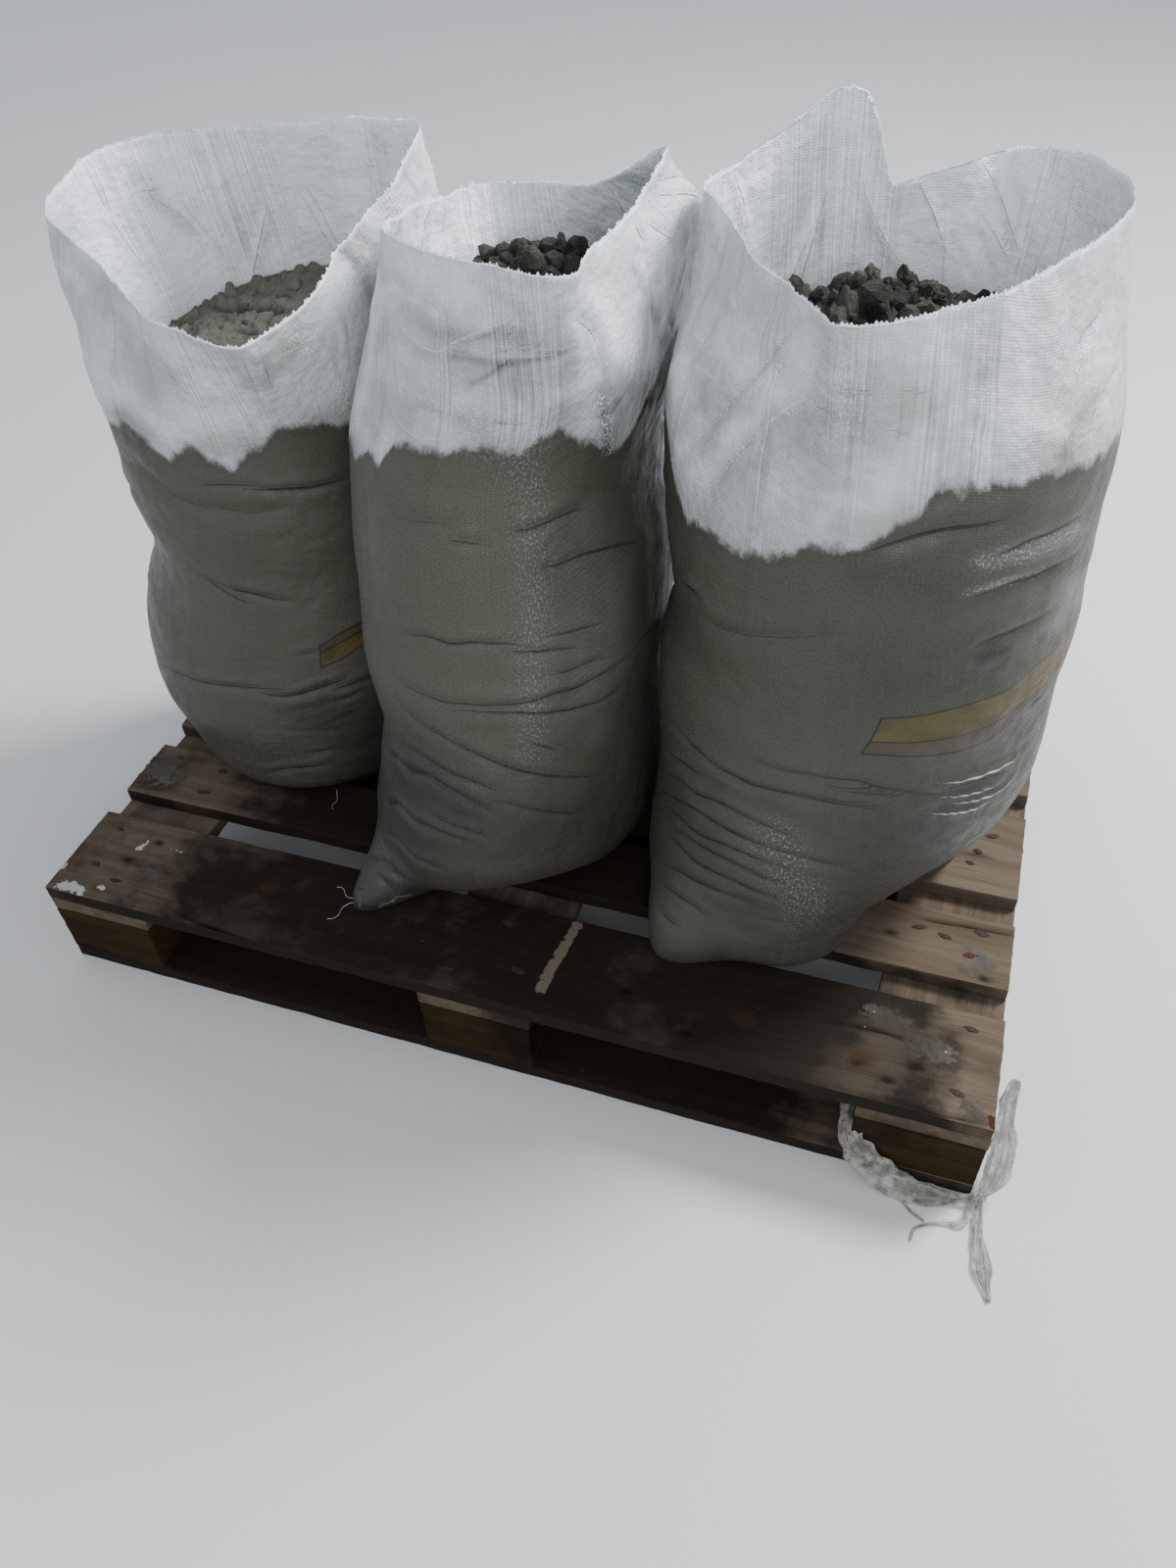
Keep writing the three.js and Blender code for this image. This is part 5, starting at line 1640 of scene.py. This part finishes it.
def nail_places():
    """The 78 nails: three at each wide board and block, four where a narrow board crosses."""
    rng = np.random.default_rng(7)
    top, bottom = [], []
    columns = [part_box(f"stringer_board_{i + 1}") for i in range(3)]
    wide = ((-0.28, -0.3), (0.05, 0.32), (0.3, -0.12))
    narrow = ((-0.3, -0.28), (0.28, -0.22), (-0.24, 0.28), (0.3, 0.24))

    def nailed(column, row, bottom_board=False):
        middle = np.array([(column[0][0] + column[1][0]) / 2, (row[0][1] + row[1][1]) / 2]) * 1000
        size = np.array([column[1][0] - column[0][0], row[1][1] - row[0][1]]) * 1000
        pattern = wide if bottom_board or size[1] > 120 else narrow
        return [middle + size * spot + rng.normal(0, 3, 2) for spot in pattern]

    for r in range(5):
        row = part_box(f"top_board_{r + 1}")
        for c, column in enumerate(columns):
            if (r, c) in NAIL_PIXELS:
                top += [deck_place(p)[:2] for p in rows_of(NAIL_PIXELS[r, c])]
            else:
                top += nailed(column, row)
    for r in range(3):
        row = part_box(f"bottom_board_{r + 1}")
        for column in columns:
            bottom += nailed(column, row, bottom_board=True)
    return [np.array([[x, y, z] for x, y in spots]) / 1000 for spots, z in ((top, DECK_Z), (bottom, 1.2))]


# Threads

# Loose ends of sewing thread, as points in millimetres
THREADS = {
    "left_seam_thread": """
        -307,-133,146.5 -305,-139,146 -301,-145,144.8 -299,-153,144.6 -301,-161,144.6 -297,-167,144.6""",
    "corner_thread_long": """
        -191,-312,149 -196,-313,148 -202,-317,145.4 -205,-324,144.8 -204,-332,144.8 -208,-340,144.8
        -215,-343,144.8""",
    "corner_thread_short": """
        -191,-309,150 -197,-307,149.5 -204,-305,146.2 -211,-300,144.9 -216,-294,144.8 -222,-291,144.8
        -227,-293,144.8""",
}
THREAD_DIAMETER = 0.0011


def build_thread(name, points, material):
    curve = bpy.data.curves.new(name, "CURVE")
    curve.dimensions = "3D"
    curve.bevel_depth = THREAD_DIAMETER / 2
    curve.bevel_resolution = 2
    curve.use_fill_caps = True
    dense = smooth_line(points, 1.6) / 1000
    spline = curve.splines.new("POLY")
    spline.points.add(len(dense) - 1)
    for point, place in zip(spline.points, dense):
        point.co = (*place, 1)
    curve.materials.append(material)
    return link_object(name, curve), dense


# The torn film

# Film runs: columns across, pleat height, outward direction, then points along each run with
# centre x, y, z and half width in millimetres
FILM_RUNS = (
    (34, 3, (0, -0.75, 0.65), """
        453.5,-322,84,12 453,-356,80,13 453.5,-394,72,13 459,-405.5,63,14 472,-410,45,18 488,-414,29,19
        505,-417,19,19 525,-419,14,17 546,-419,11,14 566,-416,9,10 586,-412,10,6 600,-409,14,4 606,-407.5,18,4"""),
    (36, 4.2, (0, -0.6, 0.75), """
        606,-407,19,4 612,-401,27,9 618,-390,36,13 621,-374,48,15 621,-356,60,13 619,-338,73,9 618,-324,86,10
        620,-312,97,8 622,-303,105,4"""),
    (20, 2.2, (0, 0, 1), """
        606,-408,17,4 608,-418,9,5 609,-432,4.5,6 611,-450,3.5,7 615,-468,3.2,9 619,-486,3.2,10 623,-500,3,6
        629,-516,2.8,3"""),
    (12, 1.2, (0, 0, 1), """
        604,-408,15,4 600,-424,6,4 588,-441,2.6,5 575,-443,2.2,2.4 563,-446,2,1.8 552,-451,2,1.7 543,-459,1.9,1.6
        541,-473,1.9,1.3"""),
    (8, 0.8, (0, 0, 1), "522,-424,4,2.5 530,-433,2.4,1.8 541,-441,2,1.6 553,-446,1.9,1.4"),
)
FILM_THICKNESS = 0.35
KNOT_AT = (606, -407.5, 18)


def film_run(count, pleat, outward, run, seed):
    """A gathered strip that lies on its line: its width swings to and fro in pleats."""
    run = np.array(rows_of(run))
    length = lengths_along(run[:, :3])
    rows = max(12, int(length[-1] / 2.4))
    dense = monotone(length, run, np.linspace(0, length[-1], rows))
    centre, half = dense[:, None, :3], dense[:, None, 3:]
    forward = unit(np.gradient(dense[:, :3], axis=0))
    across = unit(np.cross(forward, outward))
    raised = np.cross(across, forward)
    t = np.linspace(-1, 1, count)[None, :] + np.zeros((rows, 1))
    far = np.linspace(0, length[-1] / 60, rows)[:, None] + np.zeros((1, count))
    place = np.stack([t * 5.5, far, 0 * t], axis=-1)
    swing = 1.5 * lattice_noise(place, seed) + 0.6 * lattice_noise(place * (2.2, 3, 1), seed + 1)
    ragged = 1 + 0.25 * lattice_noise(place * (0.3, 4, 1), seed + 2)
    lift = pleat * np.clip(swing, -0.95, 0.95)
    return centre + across[:, None] * (t * ragged)[..., None] * half + raised[:, None] * lift[..., None]


def thicken(grid, thickness):
    """A closed thin sheet round a grid of points."""
    normal = unit(np.cross(np.gradient(grid, axis=1), np.gradient(grid, axis=0)))
    points = np.concatenate([(grid + side * normal * thickness / 2).reshape(-1, 3) for side in (1, -1)])
    count = grid.shape[0] * grid.shape[1]
    index = np.arange(count).reshape(grid.shape[:2])
    faces = strips(index, around=False).tolist() + strips(index + count, around=False)[:, ::-1].tolist()
    ring = np.concatenate([index[0, :-1], index[:-1, -1], index[-1, :0:-1], index[:0:-1, 0]])
    after = np.roll(ring, -1)
    faces += np.stack([ring, ring + count, after + count, after], axis=-1).tolist()
    return points, faces


def build_film(material):
    """The film remnant as one piece: band, side sheet and tails. Gives its area too."""
    points, faces, area = np.zeros((0, 3)), [], 0.0
    for seed, (count, pleat, outward, run) in enumerate(FILM_RUNS):
        grid = film_run(count, pleat, outward, run, 60 + 5 * seed)
        area += sheet_area(grid)
        made, quads = thicken(grid, FILM_THICKNESS)
        faces += [[i + len(points) for i in quad] for quad in quads]
        points = np.concatenate([points, made])
    points[:, 2] = np.maximum(points[:, 2], 0.3)
    return make_object("torn_film_wrap", points / 1000, faces, material), area


def sheet_area(grid):
    """Area in square metres of a grid of points in millimetres."""
    along, up = np.diff(grid, axis=1)[:-1], np.diff(grid, axis=0)[:, :-1]
    return np.linalg.norm(np.cross(along, up), axis=-1).sum() / 1e6


def build_knot(material):
    """The knot in the film: a lumpy turn of gathered strands."""
    mesh = bmesh.new()
    bmesh.ops.create_icosphere(mesh, subdivisions=5, radius=1.0)
    points = np.array([v.co for v in mesh.verts])
    turns = np.arctan2(points[:, 2], points[:, 1])
    strands = np.cos(3 * turns + 5 * points[:, 0]) + 0.6 * lattice_noise(points * 4, 12)
    reach = 7.4 + 1.3 * strands + 1.2 * lattice_noise(points * 2, 8)
    placed = points * np.clip(reach, 4, 9.5)[:, None] * (0.95, 0.72, 1.0) + KNOT_AT
    faces = [[v.index for v in f.verts] for f in mesh.faces]
    mesh.free()
    return make_object("torn_film_knot", placed / 1000, faces, material)


# What a user may change


def colour(name, description, default):
    return bpy.props.FloatVectorProperty(
        name=name, description=description, default=default, size=3, min=0, max=1, subtype="COLOR"
    )


def number(name, description, default, low=0, **more):
    return bpy.props.FloatProperty(name=name, description=description, default=default, min=low, **more)


class SackSettings(bpy.types.PropertyGroup):
    """The woven fabric of the sacks."""

    tape_width: number("Tape width", "Width of one woven tape", 0.0026, 0.001, max=0.006, unit="LENGTH")
    streaks: number("Streaks", "How much neighbouring tapes differ", 0.34, max=1, subtype="FACTOR")
    gloss: number("Roughness", "Mean roughness of the tapes", 0.36, max=1, subtype="FACTOR")
    dry: colour("Dry", "Loose dry fabric", (0.62, 0.65, 0.68))
    dry_low: colour("Dry, duller", "Duller patches of the dry fabric", (0.42, 0.435, 0.435))
    # Painted light: the inner face of the dry cloth, also used for painted highlights.
    bright: colour("Inner face", "The inner face of the dry fabric", (0.84, 0.88, 0.92))
    damp: colour("Damp", "Fabric with damp sand behind it", (0.055, 0.0525, 0.038))
    # Darker partly as painted shade near the deck.
    damp_low_and_shade: colour("Damp, low", "The same, near the deck", (0.029, 0.0278, 0.0228))
    damp_edge: colour("Damp edge", "The darker edge of the damp", (0.038, 0.036, 0.028))


class SandSettings(bpy.types.PropertyGroup):
    """The sand in the sacks."""

    sand: colour("Sand", "Damp sand", (0.078, 0.074, 0.064))
    sand_dark: colour("Sand, darker", "Wetter sand", (0.032, 0.030, 0.025))
    sand_pale: colour("Sand, paler", "Drier grains", (0.190, 0.180, 0.148))
    clod_size: number("Largest clod", "Radius of the largest loose clod", 0.016, 0.003, max=0.03, unit="LENGTH")


class PalletSettings(bpy.types.PropertyGroup):
    """The boards, blocks and nails of the pallet."""

    wood: colour("Board", "Dry worn board", (0.100, 0.078, 0.057))
    wood_stain: colour("Board rings", "Darker rings of the boards", (0.056, 0.037, 0.024))
    # Painted shade as well as damp: the darkest board colour, used where the boards are drawn darker.
    wood_wet: colour("Board, wet", "Wet or dirty board", (0.0060, 0.0045, 0.0035))
    # The block colours are kept very dark, partly for damp wood and partly as painted shade.
    block: colour("Block", "Bare block", (0.030, 0.019, 0.008))
    block_stain: colour("Block rings", "Darker rings of the blocks", (0.014, 0.008, 0.0035))
    block_dark: colour("Block, dark", "Dirty block", (0.005, 0.0035, 0.002))
    nail_head: number("Nail head", "Radius of a nail head", 0.0042, 0.002, max=0.008, unit="LENGTH")


class EdgeSettings(bpy.types.PropertyGroup):
    """The cut edges of the sacks."""

    pitch: number("Cut pitch", "Spacing of the cut tape ends", 0.0037, 0.002, max=0.01, unit="LENGTH")
    length: number("Cut length", "Length of the cut tape ends", 0.0030, 0.001, max=0.008, unit="LENGTH")


class StageSettings(bpy.types.PropertyGroup):
    """Floor and light."""

    floor: colour("Floor", "Plain pale floor", (0.50, 0.50, 0.49))
    key_power: number("Key light", "Power of the large light above and behind", 310.0, unit="POWER")
    fill_power: number("Fill light", "Power of the weak light in front", 40.0, unit="POWER")
    surroundings: number("Surroundings", "Brightness of the plain surroundings", 1.12, max=2, subtype="FACTOR")


SETTINGS = {
    "sack_fabric": SackSettings,
    "sack_sand": SandSettings,
    "pallet_wood": PalletSettings,
    "cut_edges": EdgeSettings,
    "studio_stage": StageSettings,
}


def finish_piece(made, node=None):
    """Ties a finished piece to the frame."""
    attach(made, "root")
    if node:
        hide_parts(node)


# Operators


class PALLET_OT_stage(bpy.types.Operator):
    """Floor, light and camera"""

    bl_idname = "pallet.stage"
    bl_label = "Stage"

    def execute(self, context):
        look = context.scene.studio_stage
        floor, nodes, shader = new_material("stage_floor", Roughness=0.9)
        cloud = nodes.noise(nodes.object_place(), 0.8).ramp(0.3, 0.7, 0.0, 0.12)
        nodes.feed(shader.inputs["Base Color"], nodes.mix(cloud, look.floor, (0.42, 0.42, 0.41)))
        corners = [(-12, -8, 0), (12, -8, 0), (12, 14, 0), (-12, 14, 0)]
        make_object("stage_floor", corners, [[0, 1, 2, 3]], floor, smooth=False)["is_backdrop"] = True

        world = bpy.data.worlds.new("stage_surroundings")
        context.scene.world = world
        world.use_nodes = True
        sky = world.node_tree.nodes["Background"]
        sky.inputs["Color"].default_value = (0.86, 0.93, 1.0, 1)
        sky.inputs["Strength"].default_value = look.surroundings
        for name, place, aim, size, power, tint in (
            ("key_light", (2.1, 1.5, 3.3), (0.1, 0.0, 0.6), 1.2, look.key_power, (0.97, 0.99, 1.0)),
            ("fill_light", (1.2, -2.6, 2.1), (0.0, 0.0, 0.5), 1.5, look.fill_power, (1.0, 0.97, 0.93)),
        ):
            lamp = bpy.data.lights.new(name, "AREA")
            lamp.shape, lamp.size, lamp.energy, lamp.color = "DISK", size, power, tint
            made = link_object(name, lamp)
            made.location = place
            made.rotation_euler = (Vector(aim) - Vector(place)).to_track_quat("-Z", "Y").to_euler()

        lens = bpy.data.cameras.new("photo_view")
        lens.sensor_width = SENSOR_MM
        lens.lens = FOCAL_PX / FRAME_PX[1] * SENSOR_MM
        lens.clip_start = 0.05
        view = link_object("photo_view", lens)
        turn = Matrix([LOOK_RIGHT, -LOOK_DOWN, -LOOK_AHEAD]).transposed()
        view.matrix_world = Matrix.Translation(Vector(EYE)) @ turn.to_4x4()
        context.scene.camera = view
        return {"FINISHED"}


class PALLET_OT_sacks(bpy.types.Operator):
    """The three open woven sacks"""

    bl_idname = "pallet.sacks"
    bl_label = "Sacks"

    def execute(self, context):
        material = fabric_material(context.scene.sack_fabric)
        for name in SACKS:
            finish_piece(build_fabric(name, material), f"sack_{name}")
        finish_piece(build_ear(material))
        return {"FINISHED"}


class PALLET_OT_cut_edges(bpy.types.Operator):
    """Cut tape ends along the mouths of the sacks"""

    bl_idname = "pallet.cut_edges"
    bl_label = "Cut edges"

    def execute(self, context):
        look = context.scene.cut_edges
        tree = edge_nodes()
        tones = (0.58, 0.62, 0.66), (0.84, 0.88, 0.92)
        material = plain_material("cut_tapes", 260.0, *tones, (0.35, 0.5), 0.0003)
        for seed, name in enumerate(SACKS, 2):
            outer = fabric_grid(name)[1]
            line = (outer - normals_of(outer) * WALL / 2)[-1] / 1000
            edges = [(i, (i + 1) % len(line)) for i in range(len(line))]
            source = make_object(f"mouth_line_{name}", line, edges=edges)
            values = {"Pitch": look.pitch, "Length": look.length, "Seed": seed, "Material": material}
            made = bake_nodes(source, tree, f"sack_{name}_cut_edge", values)
            discard(source)
            finish_piece(made)
        return {"FINISHED"}


class PALLET_OT_sand(bpy.types.Operator):
    """Sand in the mouths of the sacks, with its loose clods"""

    bl_idname = "pallet.sand"
    bl_label = "Sand"

    def execute(self, context):
        look = context.scene.sack_sand
        material = sand_material(look)
        tree = clod_nodes()
        for seed, name in enumerate(SACKS, 4):
            heap = build_sand(name, material)
            sizes = {"Density": CLODS_PER_M2[name], "Largest": look.clod_size}
            clods = bake_nodes(heap, tree, f"sand_{name}_clods", {**sizes, "Seed": seed, "Material": material})
            finish_piece(heap, f"sand_{name}")
            finish_piece(clods)
        return {"FINISHED"}


def wood_look(context):
    """The pallet's colours, with the sand's own colour for what lies on the boards."""
    look = context.scene.pallet_wood
    names = ("wood", "wood_stain", "wood_wet", "block", "block_stain", "block_dark")
    found = {name: tuple(getattr(look, name)) for name in names}
    found.update({name: tuple(getattr(context.scene.sack_sand, name)) for name in ("sand", "sand_dark")})
    return SimpleNamespace(**found)


class PALLET_OT_boards(bpy.types.Operator):
    """Deck, stringer and bottom boards"""

    bl_idname = "pallet.boards"
    bl_label = "Boards"

    def execute(self, context):
        lengthwise = wood_material("deck_wood", wood_look(context), 0.0)
        crosswise = wood_material("stringer_wood", wood_look(context), 1.0)
        for i in range(5):
            step, across = FRONT_BOARD_GRIDS.get(i, (8.0, 22))
            build_timber(f"top_board_{i + 1}", lengthwise, 0, step, across, 7, 8, row=i)
        for i in range(3):
            build_timber(f"stringer_board_{i + 1}", crosswise, 1, 16.0, 14, 5, 6)
            build_timber(f"bottom_board_{i + 1}", lengthwise, 0, 14.0, 12, 6, 5)
        return {"FINISHED"}


class PALLET_OT_blocks(bpy.types.Operator):
    """The nine blocks"""

    bl_idname = "pallet.blocks"
    bl_label = "Blocks"

    def execute(self, context):
        material = wood_material("block_wood", wood_look(context), 0.0, block=True)
        for i in range(9):
            build_timber(f"block_{i + 1}", material, 0, 8.0, 12, 10, 8)
        return {"FINISHED"}


class PALLET_OT_nails(bpy.types.Operator):
    """The 78 nail heads"""

    bl_idname = "pallet.nails"
    bl_label = "Nails"

    def execute(self, context):
        tones = (0.010, 0.008, 0.007), (0.045, 0.024, 0.013)
        material = plain_material("nail_iron", 420.0, *tones, (0.5, 0.85), 0.0006)
        tree = nail_nodes()
        for label, points in zip(("deck_nails", "bottom_nails"), nail_places()):
            source = make_object(f"{label}_points", points)
            values = {"Head radius": context.scene.pallet_wood.nail_head, "Seed": len(label), "Material": material}
            made = bake_nodes(source, tree, label, values)
            discard(source)
            finish_piece(made)
        return {"FINISHED"}


class PALLET_OT_film(bpy.types.Operator):
    """The torn film and its knot"""

    bl_idname = "pallet.film"
    bl_label = "Film"

    def execute(self, context):
        material = film_material()
        film, area = build_film(material)
        knot = build_knot(material)
        finish_piece(film, "torn_film")
        finish_piece(knot)
        return {"FINISHED"}


class PALLET_OT_threads(bpy.types.Operator):
    """Loose ends of the seam thread"""

    bl_idname = "pallet.threads"
    bl_label = "Threads"

    def execute(self, context):
        tones = (0.13, 0.125, 0.115), (0.34, 0.33, 0.31)
        material = plain_material("sewing_thread", 700.0, *tones, (0.55, 0.8), 0.0003)
        for name, text in THREADS.items():
            made, path = build_thread(name, rows_of(text), material)
            length = float(lengths_along(path)[-1])
            finish_piece(made)
            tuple(path[0])
        return {"FINISHED"}


OPERATORS = (
    PALLET_OT_stage,
    PALLET_OT_sacks,
    PALLET_OT_cut_edges,
    PALLET_OT_sand,
    PALLET_OT_boards,
    PALLET_OT_blocks,
    PALLET_OT_nails,
    PALLET_OT_film,
    PALLET_OT_threads,
)


class PALLET_PT_panel(bpy.types.Panel):
    """Settings and builders of the pallet of sacks"""

    bl_idname = "PALLET_PT_panel"
    bl_label = "Pallet of sacks"
    bl_space_type = "VIEW_3D"
    bl_region_type = "UI"
    bl_category = "Sacks"

    def draw(self, context):
        for name, kind in SETTINGS.items():
            box = self.layout.box()
            box.label(text=name.replace("_", " ").capitalize())
            for key in kind.__annotations__:
                box.prop(getattr(context.scene, name), key)
        for operator in OPERATORS:
            self.layout.operator(operator.bl_idname)


def register():
    for kind in (*SETTINGS.values(), *OPERATORS, PALLET_PT_panel):
        bpy.utils.register_class(kind)
    for name, kind in SETTINGS.items():
        setattr(bpy.types.Scene, name, bpy.props.PointerProperty(type=kind))


def unregister():
    for name in SETTINGS:
        delattr(bpy.types.Scene, name)
    for kind in (PALLET_PT_panel, *reversed(OPERATORS), *reversed(SETTINGS.values())):
        bpy.utils.unregister_class(kind)


def main():
    register()
    for operator in OPERATORS:
        family, name = operator.bl_idname.split(".")
        getattr(getattr(bpy.ops, family), name)()
    {"cad": plain(CAD_BOX), "scene": plain(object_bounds())}


def plain(box):
    return [[float(value) for value in corner] for corner in box]


if __name__ == "__main__":
    main()
